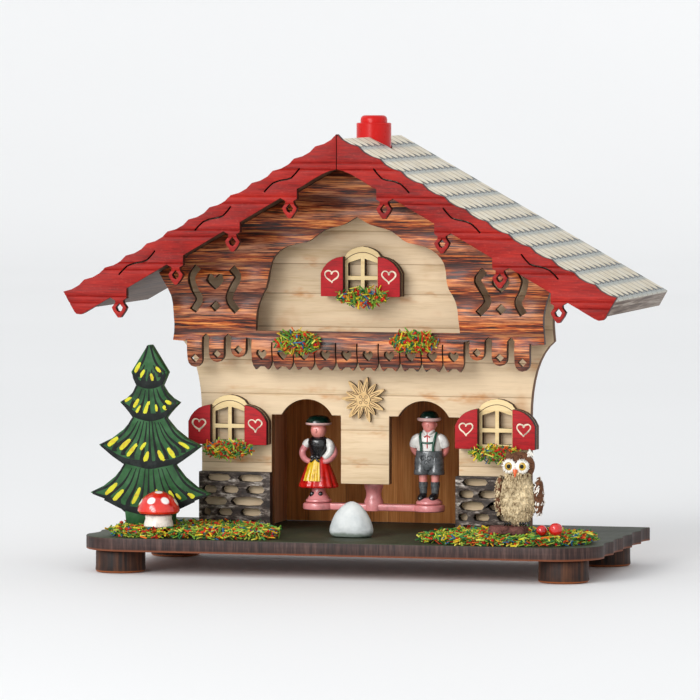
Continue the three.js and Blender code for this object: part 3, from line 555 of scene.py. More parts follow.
def strand(bm, points, radii, closed=False, flat=None, sides=2):
    # a round tube through the points; flat squashes it along one axis towards a level
    curve = bpy.data.curves.new("strand", "CURVE")
    curve.dimensions, curve.bevel_depth, curve.bevel_resolution, curve.use_fill_caps = "3D", 1.0, sides, True
    spline = curve.splines.new("BEZIER")
    spline.bezier_points.add(len(points) - 1)
    for i, (knot, spot) in enumerate(zip(spline.bezier_points, points)):
        knot.co = spot
        knot.handle_left_type = knot.handle_right_type = "AUTO"
        knot.radius = radii[i] if isinstance(radii, (list, tuple)) else radii
    spline.use_cyclic_u, spline.resolution_u = closed, 5
    obj = bpy.data.objects.new("strand", curve)
    link(obj)
    made = bpy.data.meshes.new_from_object(obj.evaluated_get(bpy.context.evaluated_depsgraph_get()))
    bpy.data.objects.remove(obj)
    if flat:
        level, share = flat
        made.transform(Matrix.Translation((0, level, 0)) @ Matrix.Diagonal((1, share, 1, 1)) @ Matrix.Translation((0, -level, 0)))
    bm.from_mesh(made)
    bpy.data.meshes.remove(made)
    return bm


def bulged(height, pitch):
    return ((height - boards["base"]) / pitch) % 1


# milled boards


def gableRelief(height):
    return boards["gableDepth"] * (0.5 + 0.5 * math.cos(2 * math.pi * bulged(height, boards["pitch"])))


def wallRelief(height):
    away = min(abs(height - groove * mm) for groove in wallGrooves)
    return boards["grooveDepth"] * max(0.0, 1 - away / (0.4 * mm))


def bargeRelief(height):
    share = bulged(height, 12.42 * mm)
    away = min(share, 1 - share) * 12.42 * mm
    groove = max(0.0, 1 - abs(away - 1.25 * mm) / (0.45 * mm)) * boards["beadDepth"]
    hollow = 0.35 * mm * (0.5 - 0.5 * math.cos(2 * math.pi * min(1, share * 1.0)))
    return groove + (hollow * (1 - share) if away > 1.7 * mm else 0.0)


gableLevels = [z * 1.037 * mm for z in range(68, 158)]
milled("gable_board", "gableBoard", "gable", -14 * mm, gableRelief, gableLevels, boards["edge"])
wallLevels = []
for groove in wallGrooves:
    for step in (-0.4, -0.2, 0, 0.2, 0.4):
        wallLevels.append((groove + step) * mm)
milled("front_wall", "frontWall", "wall", -2 * mm, wallRelief, wallLevels, 0.15 * mm)
bargeLevels = []
for k in range(-3, 4):
    for step in (-1.7, -1.25, -0.8, 0, 0.8, 1.25, 1.7, 3.2, 4.8, 6.4, 8, 9.4):
        bargeLevels.append((125.4 + 12.42 * k + step) * mm)
for side in ("left", "right"):
    milled("bargeboard_" + side, "bargeboard" + side.title(), "barge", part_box("bargeboard_" + side)[0].y, bargeRelief,
           bargeLevels, boards["edge"])
print("milled boards")


def dressed(node, name, paint, edge=0.2 * mm, segments=2):
    return piece(softened(cadCopy(node), edge, segments), name, paint, stands=(node,))


for side in ("left", "right"):
    dressed("roof_" + side, "roof" + side.title(), "tiles", 0.12 * mm)
    dressed("stone_panel_" + side, "stonePanel" + side.title(), "stone", 0.5 * mm, 3)
    dressed("side_wall_" + side, "innerSide" + side.title(), "side", 0.15 * mm)
    dressed("gable_spacer_" + side, "gableSpacer" + side.title(), "ledge", 0.2 * mm)
dressed("back_panel", "innerBack", "back", 0.15 * mm)
dressed("knob_block", "knobBlock", "side", 0.2 * mm)
dressed("gable_spacer_top", "gableSpacerTop", "ledge", 0.2 * mm)
dressed("balcony_floor", "balconyFloor", "ledge", 0.3 * mm)
dressed("base_board", "baseBoard", "base", 0.3 * mm)
for row in ("front", "back"):
    for side in ("left", "right"):
        low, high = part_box(f"foot_{row}_{side}")
        radius, top = (high.x - low.x) / 2, high.z
        profile = [(0, 0), (radius - 0.7 * mm, 0), (radius - 0.2 * mm, 0.25 * mm), (radius, 0.8 * mm),
                   (radius - 0.15 * mm, 2.5 * mm), (radius - 0.15 * mm, top - 0.6 * mm), (radius - 0.5 * mm, top), (0, top)]
        bm = turnedShape(profile, 72)
        for vert in bm.verts:
            if vert.co.xy.length > radius * 0.9:
                turn = math.atan2(vert.co.y, vert.co.x)
                vert.co.xy *= 1 - 0.006 * (0.5 + 0.5 * math.sin(turn * 36))
        bmesh.ops.translate(bm, verts=bm.verts, vec=((low.x + high.x) / 2, (low.y + high.y) / 2, 0))
        piece(bm, f"foot{row.title()}{side.title()}", "foot", stands=(f"foot_{row}_{side}",))
print("plates and feet")


# windows
windows = {"heartWide": 2.6 * mm, "heartTall": 2.9 * mm, "heartLine": 0.27 * mm, "arcLine": 0.13 * mm}


def heartPoints(x, z, wide, tall, count=16):
    points = []
    for i in range(count):
        t = 2 * math.pi * i / count
        across = math.sin(t) ** 3
        up = (13 * math.cos(t) - 5 * math.cos(2 * t) - 2 * math.cos(3 * t) - math.cos(4 * t)) / 16
        points.append((x + across * wide, z + up * tall * 0.85))
    return points


for name in ("top", "low_left", "low_right"):
    label = "".join(part.title() for part in name.split("_"))
    dressed("window_frame_" + name, "windowFrame" + label, "window", 0.16 * mm)
    low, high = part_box("window_frame_" + name)
    middle, sill, face = (low.x + high.x) / 2, low.z, low.y
    arc = bmesh.new()
    arcPoints = []
    for i in range(9):
        x = (i / 4 - 1) * 6.9 * mm
        arcPoints.append((middle + x, face - 0.02 * mm, sill + (16.3 - 3.1 * (i / 4 - 1) ** 2) * mm))
    strand(arc, arcPoints, windows["arcLine"], flat=(face, 0.5))
    piece(arc, "windowArc" + label, "scorch")
    for side in ("left", "right"):
        node = f"shutter_{name}_{side}"
        dressed(node, f"shutter{label}{side.title()}", "shutter", 0.25 * mm)
        low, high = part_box(node)
        x, z, y = (low.x + high.x) / 2, low.z + 7.6 * mm, low.y
        line = bmesh.new()
        rng = random.Random(node)
        points = [(px + rng.uniform(-0.12, 0.12) * mm, y - 0.03 * mm, pz + rng.uniform(-0.12, 0.12) * mm)
                  for px, pz in heartPoints(x, z, windows["heartWide"], windows["heartTall"])]
        widths = [windows["heartLine"] * rng.uniform(0.65, 1.3) for _ in points]
        strand(line, points, widths, closed=True, flat=(y, 0.45))
        ball(line, (x + 0.1 * mm, y - 0.03 * mm, z + 1.1 * mm), (0.3 * mm, 0.09 * mm, 0.38 * mm), 10, 6)
        piece(line, f"heartLine{label}{side.title()}", "cream")
print("windows")


# edelweiss with layered petals
edelweiss = {"middle": (0, 62.8), "reach": 8.9, "petals": 14, "plate": 1.7}


def petal(bm, reach, wide, turn, level):
    half = [(0.9, 0.4), (2.4, wide * 0.9), (reach * 0.5, wide * 1.05), (reach * 0.72, wide), (reach * 0.9, wide * 0.6), (reach, 0.15)]
    outline = [Vector((x, 0, z)) for x, z in half] + [Vector((x, 0, -z)) for x, z in reversed(half)]
    bladeFace = bm.faces.new([bm.verts.new(p * mm) for p in outline])
    made = bmesh.ops.extrude_face_region(bm, geom=[bladeFace])
    back = [v for v in made["geom"] if isinstance(v, bmesh.types.BMVert)]
    bmesh.ops.translate(bm, verts=back, vec=(0, -edelweiss["plate"] * mm, 0))
    verts = list({v for f in [bladeFace] for v in f.verts} | set(back))
    spot = Matrix.Translation(Vector((edelweiss["middle"][0], level, edelweiss["middle"][1])) * mm)
    bmesh.ops.transform(bm, matrix=spot @ Matrix.Rotation(turn, 4, "Y"), verts=verts)


star = bmesh.new()
rng = random.Random(7)
for i in range(edelweiss["petals"]):
    reach = edelweiss["reach"] * (1 if i % 2 else 0.84) * rng.uniform(0.95, 1.02)
    turn = 2 * math.pi * i / edelweiss["petals"] + rng.uniform(-0.06, 0.06)
    petal(star, reach, rng.uniform(0.85, 1.05), turn, -2.35 - 0.22 * (i % 3))
bmesh.ops.recalc_face_normals(star, faces=star.faces)
softened(star, 0.08 * mm, 2, 40)
piece(star, "edelweissPetals", "star", stands=("edelweiss",))
veins = bmesh.new()
for i in range(edelweiss["petals"]):
    turn = 2 * math.pi * i / edelweiss["petals"]
    level = (-2.35 - 0.22 * (i % 3) - edelweiss["plate"]) * mm
    for near, far, off in ((2.9, 6.9, 0.5), (2.9, 6.9, -0.5)):
        points = []
        for share in (0, 0.5, 1):
            r = near + (far - near) * share
            z = off * (1 - share * 0.75)
            x, up = r * math.cos(turn) + z * math.sin(turn), -r * math.sin(turn) + z * math.cos(turn)
            points.append((x * mm, level, (edelweiss["middle"][1] + up) * mm))
        strand(veins, points, [0.13 * mm, 0.16 * mm, 0.06 * mm], flat=(level, 0.4), sides=1)
for x, z in ((-1.05, -1.05), (1.05, -1.05), (-1.05, 1.05), (1.05, 1.05), (0, 0)):
    ring = []
    for k in range(8):
        a = 2 * math.pi * k / 8
        ring.append(((x + 0.48 * math.cos(a)) * mm, -4.52 * mm, (edelweiss["middle"][1] + z + 0.48 * math.sin(a)) * mm))
    strand(veins, ring, 0.1 * mm, closed=True, flat=(-4.52 * mm, 0.4), sides=1)
piece(veins, "edelweissVeins", "scorch")
heartDisc = turnedShape([(0, 0), (2.8 * mm, 0), (2.8 * mm, 1.8 * mm), (2.6 * mm, 2.05 * mm), (0, 2.1 * mm)], 24)
bmesh.ops.transform(heartDisc, matrix=Matrix.Translation((0, -2.4 * mm, edelweiss["middle"][1] * mm)) @ Matrix.Rotation(math.radians(90), 4, "X"),
                    verts=heartDisc.verts)
piece(heartDisc, "edelweissMiddle", "star")
print("edelweiss")


# foam flowers
foam = {"length": (1.6, 4.0), "width": 0.42}


def shredMesh(bend):
    bm = bmesh.new()
    bmesh.ops.create_cube(bm, size=1)
    bmesh.ops.subdivide_edges(bm, edges=[e for e in bm.edges if abs(e.verts[0].co.x - e.verts[1].co.x) > 0.5], cuts=1)
    for vert in bm.verts:
        vert.co.z += bend * (0.25 - vert.co.x ** 2) * 2
    mesh = bpy.data.meshes.new("shred")
    bm.to_mesh(mesh)
    bm.free()
    mesh.attributes.new("dye", "FLOAT", "POINT")
    return mesh


def lumpMesh():
    bm = bmesh.new()
    bmesh.ops.create_icosphere(bm, subdivisions=1, radius=0.5)
    for vert in bm.verts:
        vert.co *= 0.85 + 0.35 * noise.noise(vert.co * 3)
    mesh = bpy.data.meshes.new("lump")
    bm.to_mesh(mesh)
    bm.free()
    mesh.attributes.new("dye", "FLOAT", "POINT")
    return mesh


shreds = [shredMesh(0.0), shredMesh(0.4), shredMesh(-0.4)]
lump = lumpMesh()


def scattered(name, node, count, rng, depth, stand, colourful=0.4, keep=None, lumps=0.03, reach=1.0):
    # shreds strewn over the node's own surface, each with its own dye
    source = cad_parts[node].data
    source.calc_loop_triangles()
    triangles = [t for t in source.loop_triangles if keep is None or keep(t.normal)]
    weights = [t.area for t in triangles]
    bm = bmesh.new()
    bm.verts.layers.float.new("dye")
    low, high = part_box(node)
    for tri in rng.choices(triangles, weights, k=count):
        a, b, c = (source.vertices[i].co for i in tri.vertices)
        r, s = rng.random(), rng.random()
        if r + s > 1:
            r, s = 1 - r, 1 - s
        spot = a + (b - a) * r + (c - a) * s - tri.normal * rng.uniform(*depth) * mm
        chosen = lump if rng.random() < lumps else rng.choice(shreds)
        length = rng.uniform(*foam["length"]) * reach * mm
        wide = foam["width"] * rng.uniform(0.7, 1.4) * mm
        lean = Vector((rng.gauss(0, 1), rng.gauss(0, 1), rng.gauss(0, 1) * stand)).normalized()
        turn = lean.to_track_quat("X", "Z").to_matrix().to_4x4() @ Matrix.Rotation(rng.uniform(0, 6.28), 4, "X")
        size = (1.5 * mm * rng.uniform(0.7, 1.3),) * 3 if chosen is lump else (length, wide, wide * 0.6)
        matrix = Matrix.Translation(spot) @ turn @ Matrix.Diagonal((*size, 1))
        strip = chosen.copy()
        strip.transform(matrix)
        dyeRoll = rng.random()
        if chosen is lump:
            dye = rng.choice([8.5, 8.5, 9.5, 10.5]) / 13
        elif dyeRoll < colourful:
            dye = (6.5 + rng.randrange(7)) / 13
        else:
            dye = (0.5 + rng.randrange(6)) / 13
        strip.attributes["dye"].data.foreach_set("value", [dye] * len(strip.vertices))
        bm.from_mesh(strip)
        bpy.data.meshes.remove(strip)
    return piece(bm, name, "foam", stands=(node,), crease=20)


clumps = [("flowers_top_window", "foamTopWindow", 330), ("flowers_low_window_left", "foamLowLeft", 340),
          ("flowers_low_window_right", "foamLowRight", 340), ("flowers_balcony_left", "foamBalconyLeft", 360),
          ("flowers_balcony_right", "foamBalconyRight", 360)]
for node, name, count in clumps:
    scattered(name, node, count, random.Random(node), (0.3, 3.2), 1.0, 0.42, keep=lambda n: n.y < 0.5, lumps=0.12)
for side in ("left", "right"):
    node = "flower_bed_" + side
    scattered("foamBed" + side.title(), node, 2600, random.Random(node), (-0.6, 3.0), 0.35, keep=lambda n: n.z > -0.3, lumps=0.04, reach=0.85)
print("foam")


# fir tree with brush strokes
treePaint = {"strokeTall": 0.12, "faceLift": 0.02}
dressed("fir_tree", "firTree", "leaf", 0.25 * mm)
low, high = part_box("fir_tree")
treeX, treeFace = (low.x + high.x) / 2, low.y
# tiers from the bottom up: tip (x, z), bend of the lower edge, neck below it (x, z), neck above it (x, z)
tiers = [
    ((22.4, 28.3), (13, 24.3), (9.3, 21.6), (9.4, 39.2)),
    ((19.1, 46.1), (14, 42), (9.3, 39.2), (6.1, 56.6)),
    ((10.9, 62.1), (8.4, 59.4), (5.9, 56.6), (4.7, 68.4)),
    ((6.6, 73.3), (5.9, 71), (4.5, 68.5), (0.5, 83.2)),
]
dabs = [  # upper end, lower end, width
    (-3.3, 77, -5.4, 73.2, 1.6), (-1.8, 74.3, -3.4, 71.4, 1.4), (2.6, 75.4, 4.4, 72.9, 1.5), (0.6, 72.9, 1.8, 69.8, 1.7),
    (-6.8, 64.1, -9.4, 62.4, 1.3), (-4.1, 63.5, -6.6, 59.9, 1.6), (-3.1, 61.1, -5.2, 57.6, 1.5), (0.1, 62.8, -2.1, 57, 1.7),
    (2.6, 61.6, 3.1, 58.7, 1.6), (6.2, 62.9, 8.6, 61.9, 1.6), (5.4, 61, 6.9, 59.9, 1.9),
    (-12, 49.1, -16, 45.8, 2), (-7.3, 48.4, -11.3, 44.5, 2), (-4.6, 46.9, -8.6, 42.1, 1.8), (-1.3, 47.4, -3.3, 44.5, 1.5),
    (-0.3, 44, -2.3, 39.2, 2), (3.4, 44.5, 5.9, 40.2, 2), (7.1, 45.5, 9.9, 41.9, 2), (11.3, 47.6, 15.4, 45.3, 1.5),
    (-12.5, 32, -17, 27.6, 2), (-10, 29.6, -14.2, 25.2, 2), (-3.6, 30.6, -6.6, 24.4, 1.8), (2.6, 30, 4.2, 25, 1.8),
    (10.3, 28.6, 12.2, 26.6, 1.4), (14.6, 28.4, 17.4, 27.1, 2), (7.6, 29.6, 9.4, 25.6, 1.8),
]
blackStrokes, yellowDabs = bmesh.new(), bmesh.new()
rng = random.Random(11)


def stroke(bm, points, widths, level=0.0):
    spots = [(treeX + x * mm, treeFace - level * mm, z * mm) for x, z in points]
    strand(bm, spots, [w * mm for w in widths], flat=(treeFace, 0.14), sides=1)


for tip, bend, under, over in tiers:
    for sign in (-1, 1):
        # outline: over the shoulder to the tip, then back in under it
        shoulder = (over[0] + (tip[0] - over[0]) * 0.38, tip[1] + (over[1] - tip[1]) * 0.34)
        stroke(blackStrokes, [(sign * x, z) for x, z in (over, shoulder, (tip[0] - 0.5, tip[1] + 0.1))], [0.42, 0.5, 0.5])
        stroke(blackStrokes, [(sign * x, z) for x, z in ((tip[0] - 0.4, tip[1] - 0.1), (bend[0] - 0.4, bend[1] + 0.5), (under[0] - 0.2, under[1] + 0.3))],
               [0.45, 0.95, 0.9])
    droop = 0.5 + under[0] * 0.1
    sweep = [(-tip[0] * 0.78, bend[1] + 1.6), (-under[0], under[1] + 1.3), (-under[0] * 0.5, under[1] + 0.4), (0, under[1] - droop + 1.2),
             (under[0] * 0.5, under[1] + 0.4), (under[0], under[1] + 1.3), (tip[0] * 0.78, bend[1] + 1.6)]
    stroke(blackStrokes, sweep, [0.4, 1.1, 1.45, 1.7, 1.45, 1.1, 0.4])
    fronds = 9 if tip[0] > 15 else 5
    for i in range(fronds):
        share = (i - (fronds - 1) / 2) / (fronds / 2) * 0.94 + rng.uniform(-0.03, 0.03)
        top = (over[0] * share * 0.85, over[1] - 1.0 - rng.uniform(0, 0.8))
        end = (tip[0] * share * 0.84, under[1] + 2.2 + abs(share) ** 1.6 * (tip[1] - under[1]) * 0.75)
        if tip[0] < 8:
            top = (end[0] * 0.4, end[1] + 3)
        middle = (top[0] * 0.62 + end[0] * 0.38, (top[1] + end[1]) / 2 - abs(share) * 0.6)
        stroke(blackStrokes, [top, middle, end], [0.18, rng.uniform(0.3, 0.5), 0.85])
        stroke(blackStrokes, [(end[0] * 0.93, end[1] + 2.2), end, (end[0] * 1.01, end[1] - 1.4)], [0.14, 0.85, 1.15])
for x0, z0, x1, z1, wide in dabs:
    lean = rng.uniform(-0.25, 0.25)
    spots, widths = [], []
    for share, swell in ((0, 0.14), (0.1, 0.36), (0.5, 0.52), (0.9, 0.42), (1, 0.14)):
        bow = lean * 4 * share * (1 - share)
        spots.append((x0 + (x1 - x0) * share + bow, z0 + (z1 - z0) * share + bow * 0.4))
        widths.append(wide * swell)
    stroke(yellowDabs, spots, widths, 0.12)
piece(blackStrokes, "treeStrokes", "outline")
piece(yellowDabs, "treeDabs", "dab")
print("tree")


# toadstool, pebble, berries
def profileMm(points):
    return [(r * mm, z * mm) for r, z in points]


low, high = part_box("mushroom_stem")
spotX, spotY = (low.x + high.x) / 2, (low.y + high.y) / 2
stem = turnedShape(profileMm([(0, 0), (5.0, 0), (5.5, 0.5), (5.3, 1.8), (4.9, 3.0), (5.0, 4.2), (4.6, 4.55), (0, 4.6)]), 32, at=(spotX, spotY, low.z))
piece(stem, "toadstoolStem", "stem", stands=("mushroom_stem",))
low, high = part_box("mushroom_cap")
capMiddle = (spotX, spotY, low.z + 0.8 * mm)
paints["capRed"] = dottedRed("capRed", capMiddle, 7.2 * mm, [
    (-0.16, 0.62, 1), (0.68, 0.62, 1), (-1.1, 0.5, 0.9), (1.6, 0.5, 1), (0.3, 1.32, 0.9), (2.5, 0.55, 1), (3.4, 0.62, 1), (4.3, 0.5, 1)],
    1.6 * mm)
cap = turnedShape(profileMm([(0, 0.2), (3.4, -0.1), (5.6, -0.35), (7.2, -0.1), (7.85, 0.7), (7.75, 2.0), (7.2, 3.5), (6.3, 4.9),
                             (5.0, 6.2), (3.4, 7.2), (1.7, 7.9), (0, 8.15)]), 40, at=(spotX, spotY, low.z + 0.4 * mm))
piece(cap, "toadstoolCap", "capRed", stands=("mushroom_cap",))
low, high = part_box("rock")
rock = bmesh.new()
bmesh.ops.create_icosphere(rock, subdivisions=5, radius=1)
for vert in rock.verts:  # a rounded triangle from the front, broad at the foot
    up = vert.co.z
    ring = max(1e-4, math.sqrt(max(0.0, 1 - up * up)))
    broad = math.sqrt(max(0.0, 1 - abs(up) ** 2.5)) * (1 - 0.58 * (up * 0.5 + 0.5)) * 1.22
    waver = 1 + 0.06 * noise.noise(vert.co * 1.6) + 0.012 * noise.noise(vert.co * 6)
    dent = 1 - 0.1 * math.exp(-(vert.co.x * 3.2) ** 2) * (vert.co.y < 0) * max(0, 0.4 - up)
    vert.co = Vector((vert.co.x / ring * broad * waver, vert.co.y / ring * broad * waver * dent, max(up, -0.72)))
size = high - low
bmesh.ops.transform(rock, matrix=Matrix.Translation(((low.x + high.x) / 2, (low.y + high.y) / 2, low.z + 0.72 * size.z / 1.74))
                    @ Matrix.Diagonal((size.x / 2.05, size.y / 2.05, size.z / 1.74, 1)), verts=rock.verts)
piece(rock, "pebble", "rock", stands=("rock",), crease=60)
for i in (1, 2):
    low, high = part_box(f"berry_{i}")
    middle, r = (low + high) / 2, (high.z - low.z) / 2
    berry = bmesh.new()
    ball(berry, middle, (r, r * 0.96, r * 0.97), 28, 18)
    for vert in berry.verts:
        vert.co += (vert.co - middle) * 0.05 * noise.noise(vert.co * 500)
    piece(berry, f"berry{i}", "berry", stands=(f"berry_{i}",))
print("toadstool, pebble, berries")


# owl
owl = {"x": 67.2, "y": -39.0, "foot": 20.2, "fluffLength": 1.5}
low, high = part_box("owl_body")
ox, oy, oz = (low.x + high.x) / 2, (low.y + high.y) / 2, low.z
owlBody = bmesh.new()
bmesh.ops.create_icosphere(owlBody, subdivisions=5, radius=1)
for vert in owlBody.verts:
    vert.co = vert.co * (1 + 0.05 * noise.noise(vert.co * 4) + 0.07 * abs(noise.noise(vert.co * 11)))
    wide = 1 - 0.2 * max(0, vert.co.z) + 0.05 * math.sin(vert.co.z * 3)
    vert.co.x, vert.co.y = vert.co.x * wide, vert.co.y * wide
bmesh.ops.transform(owlBody, matrix=Matrix.Translation((ox, oy, oz + 10 * mm)) @ Matrix.Diagonal((6.6 * mm, 5.1 * mm, 9.8 * mm, 1)), verts=owlBody.verts)
piece(owlBody, "owlBody", "owlCream", stands=("owl_body",), crease=80)
owlHead = bmesh.new()
bmesh.ops.create_icosphere(owlHead, subdivisions=4, radius=1)
for vert in owlHead.verts:
    vert.co = vert.co * (1 + 0.06 * abs(noise.noise(vert.co * 9)))
bmesh.ops.transform(owlHead, matrix=Matrix.Translation((ox + 0.3 * mm, oy + 0.6 * mm, oz + 21.6 * mm)) @ Matrix.Diagonal((5.7 * mm, 4.4 * mm, 5.2 * mm, 1)), verts=owlHead.verts)
for sign, lean in ((-1, 0.1), (1, 0.25)):
    bmesh.ops.create_cone(owlHead, cap_ends=True, segments=12, radius1=1.7 * mm, radius2=0.3 * mm, depth=2.6 * mm,
                          matrix=Matrix.Translation((ox + sign * 3.8 * mm, oy + 0.6 * mm, oz + 26.1 * mm)) @ Matrix.Rotation(sign * (lean + 0.2), 4, "Y"))
piece(owlHead, "owlHead", "owlBrown", crease=80)


def coneAt(bm, at, r1, r2, depth, turn=None, segments=16):
    return bmesh.ops.create_cone(bm, cap_ends=True, segments=segments, radius1=r1, radius2=r2, depth=depth,
                                 matrix=Matrix.Translation(at) @ (turn or Matrix()))["verts"]


frontTurn = Matrix.Rotation(math.radians(90), 4, "X")
eyeRings, irises, pupils = bmesh.new(), bmesh.new(), bmesh.new()
rng = random.Random(3)
for sign in (-1, 1):
    ex, ez = ox + (0.1 + sign * 2.45) * mm, oz + 21.8 * mm
    ey = oy - 4.0 * mm
    turn = Matrix.Rotation(sign * 0.18, 4, "Z")
    ball(eyeRings, (ex, ey, ez), (2.5 * mm, 0.9 * mm, 2.6 * mm), 24, 14, turn)
    for k in range(26):
        a = 2 * math.pi * k / 26 + rng.uniform(-0.1, 0.1)
        start = Vector((math.cos(a) * 1.5, -0.85, math.sin(a) * 1.5)) * mm
        end = Vector((math.cos(a) * rng.uniform(2.5, 3.0), -0.15, math.sin(a) * rng.uniform(2.5, 3.0))) * mm
        middle = (start + end) / 2 + Vector((0, -0.15, 0)) * mm
        strand(eyeRings, [Vector((ex, ey, ez)) + p for p in (start, middle, end)], [0.22 * mm, 0.26 * mm, 0.08 * mm], sides=1)
    ball(irises, (ex + 0.1 * mm, ey - 0.72 * mm, ez), (1.45 * mm, 0.45 * mm, 1.5 * mm), 20, 12)
    ball(pupils, (ex + 0.05 * mm, ey - 1.06 * mm, ez), (0.76 * mm, 0.28 * mm, 0.8 * mm), 16, 10)
piece(eyeRings, "owlEyeRings", "eyeWhite")
piece(irises, "owlIrises", "iris")
piece(pupils, "owlPupils", "outline")
beak = bmesh.new()
coneAt(beak, (ox + 0.1 * mm, oy - 5.0 * mm, oz + 19.2 * mm), 0.15 * mm, 1.0 * mm, 2.9 * mm, Matrix.Rotation(-0.25, 4, "X"), 14)
softened(beak, 0.15 * mm, 2, 40)
piece(beak, "owlBeak", "beak")
toes = bmesh.new()
for sign in (-1, 1):
    for k in (-1, 0, 1):
        ball(toes, (ox + (sign * 2.9 + k * 1.0) * mm, oy - 4.4 * mm, oz + 0.9 * mm), (0.48 * mm, 1.1 * mm, 0.85 * mm), 10, 8)
piece(toes, "owlToes", "black")
fluff, wingFluff = bmesh.new(), bmesh.new()


def tufted(bm, middle, radii, count, rng, length, frontOnly=False):
    for _ in range(count):
        way = Vector((rng.gauss(0, 1), rng.gauss(0, 1), rng.gauss(0, 1))).normalized()
        if frontOnly and way.y > 0.25:
            continue
        spot = Vector(middle) + Vector((way.x * radii[0], way.y * radii[1], way.z * radii[2]))
        fall = (Vector((way.x * 0.6, way.y * 0.6, -1 + rng.uniform(-0.5, 0.6))) + Vector((rng.gauss(0, 0.35), 0, 0))).normalized()
        size = length * rng.uniform(0.6, 1.3)
        matrix = Matrix.Translation(spot) @ fall.to_track_quat("X", "Z").to_matrix().to_4x4() @ Matrix.Rotation(rng.uniform(0, 6.28), 4, "X") @ Matrix.Diagonal((size, size * 0.26, size * 0.2, 1))
        strip = rng.choice(shreds).copy()
        strip.transform(matrix)
        bm.from_mesh(strip)
        bpy.data.meshes.remove(strip)


tufted(fluff, (ox, oy, oz + 10 * mm), (6.55 * mm, 5.1 * mm, 9.6 * mm), 900, random.Random(5), 1.5 * mm)
tufted(fluff, (ox, oy - 0.5 * mm, oz + 18.8 * mm), (4.6 * mm, 4.2 * mm, 2.0 * mm), 200, random.Random(6), 1.5 * mm, True)
piece(fluff, "owlFluff", "owlCream", crease=20)
crest = bmesh.new()
tufted(crest, (ox + 4.4 * mm, oy - 0.4 * mm, oz + 26 * mm), (0.8 * mm, 0.8 * mm, 1.1 * mm), 16, random.Random(8), 1.6 * mm)
piece(crest, "owlCrest", "eyeWhite", crease=20)
for side, sign in (("left", -1), ("right", 1)):
    node = "owl_wing_" + side
    low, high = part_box(node)
    middle, size = (low + high) / 2, (high - low) / 2
    middle -= Vector(((1.3 if sign > 0 else -2.1) * mm, 0, 0))  # tucked against the fluff
    size = Vector((1.9 * mm, size.y, size.z)) * 0.93
    wing = bmesh.new()
    ball(wing, middle, size, 20, 16)
    for vert in wing.verts:
        vert.co += Vector((sign, 0, 0)) * 0.35 * mm * noise.noise(vert.co * 900)
    piece(wing, "owlWing" + side.title(), "owlBrown", stands=(node,), crease=80)
    flecks = bmesh.new()
    tufted(flecks, middle, size, 150 if sign < 0 else 80, random.Random(node), 1.4 * mm)
    piece(flecks, "owlFlecks" + side.title(), "owlCream" if sign < 0 else "eyeWhite", crease=20)
bark = softened(cadCopy("owl_bark"), 0.5 * mm, 3)
bmesh.ops.subdivide_edges(bark, edges=bark.edges, cuts=2, use_grid_fill=True)
for vert in bark.verts:
    vert.co += Vector((noise.noise(vert.co * 400), noise.noise(vert.co * 430 + Vector((9, 0, 0))), 0.6 * noise.noise(vert.co * 500))) * 0.5 * mm
piece(bark, "owlBark", "bark", stands=("owl_bark",), crease=25)
print("owl")


# chimney knob, beam, string
low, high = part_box("chimney_knob")
knob = turnedShape(profileMm([
    (0, 138), (1.8, 138), (2, 138.3), (2, 153.6), (6.1, 153.6), (6.5, 154.0), (6.5, 165.15), (6.25, 165.4), (5.2, 165.4), (5.02, 165.5),
    (5, 166.6), (4.8, 167.4), (4.3, 167.95), (3.6, 168.2), (0, 168.2)]), 64, at=(0, 11 * mm, 0))
piece(knob, "chimneyKnob", "knob", "knob", ("chimney_knob",), 30)
beamSpec = {"y": 11, "floor": 20.4, "thick": 2.6, "arm": 21.4}
beamBar = bmesh.new()
bmesh.ops.create_cube(beamBar, size=1, matrix=Matrix.Translation((0, 11 * mm, 21.7 * mm)) @ Matrix.Diagonal((2 * 21.4 * mm, 5.3 * mm, 2.5 * mm, 1)))
softened(beamBar, 0.5 * mm, 3)
piece(beamBar, "beamBar", "pink", "beam", ("figure_beam",))
for label, sign in (("Left", -1), ("Right", 1)):
    disc = turnedShape(profileMm([(0, 0), (5.4, 0), (5.8, 0.3), (5.9, 0.8), (5.9, 1.8), (5.75, 2.3), (5.3, 2.6), (0, 2.6)]), 48,
                       at=(sign * 21.4 * mm, 11 * mm, 20.4 * mm))
    piece(disc, "beamDisc" + label, "pink", "beam")
post = turnedShape(profileMm([(0, 0), (3.5, 0), (3.6, 0.4), (3.6, 3.4), (3.3, 4.2), (2.95, 5.2), (2.85, 6.4), (3.0, 7.5), (3.4, 8.4),
                              (3.55, 9.0), (3.55, 9.9), (3.3, 10.1), (0, 10.1)]), 40, at=(0, 11 * mm, 20.4 * mm))
piece(post, "beamPost", "pink", "beam")
low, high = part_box("gut_string")
string = bmesh.new()
for phase in (0, math.pi):
    points = []
    for i in range(61):
        share = i / 60
        a = phase + share * 2 * math.pi * 14
        points.append((0.16 * mm * math.cos(a), 11 * mm + 0.16 * mm * math.sin(a), low.z + (high.z - low.z) * share))
    strand(string, points, 0.2 * mm, sides=1)
piece(string, "gutString", "gut", "beam", ("gut_string",))
print("knob and beam")


# the two figures
figures = {"y": 11, "stand": 23.3, "womanX": -21.4, "manX": 21.4}


def at(x, y, z, who):
    return Vector(((figures[who] + x) * mm, (figures["y"] + y) * mm, (figures["stand"] + z) * mm))


def turnedOn(who, profile, steps=36, squash=(1, 1, 1), across=0):
    return turnedShape(profileMm(profile), steps, at(across, 0, 0, who), squash)


def limb(bm, who, points, radii, sides=3):
    return strand(bm, [at(*p, who) for p in points], [r * mm for r in radii], sides=sides)


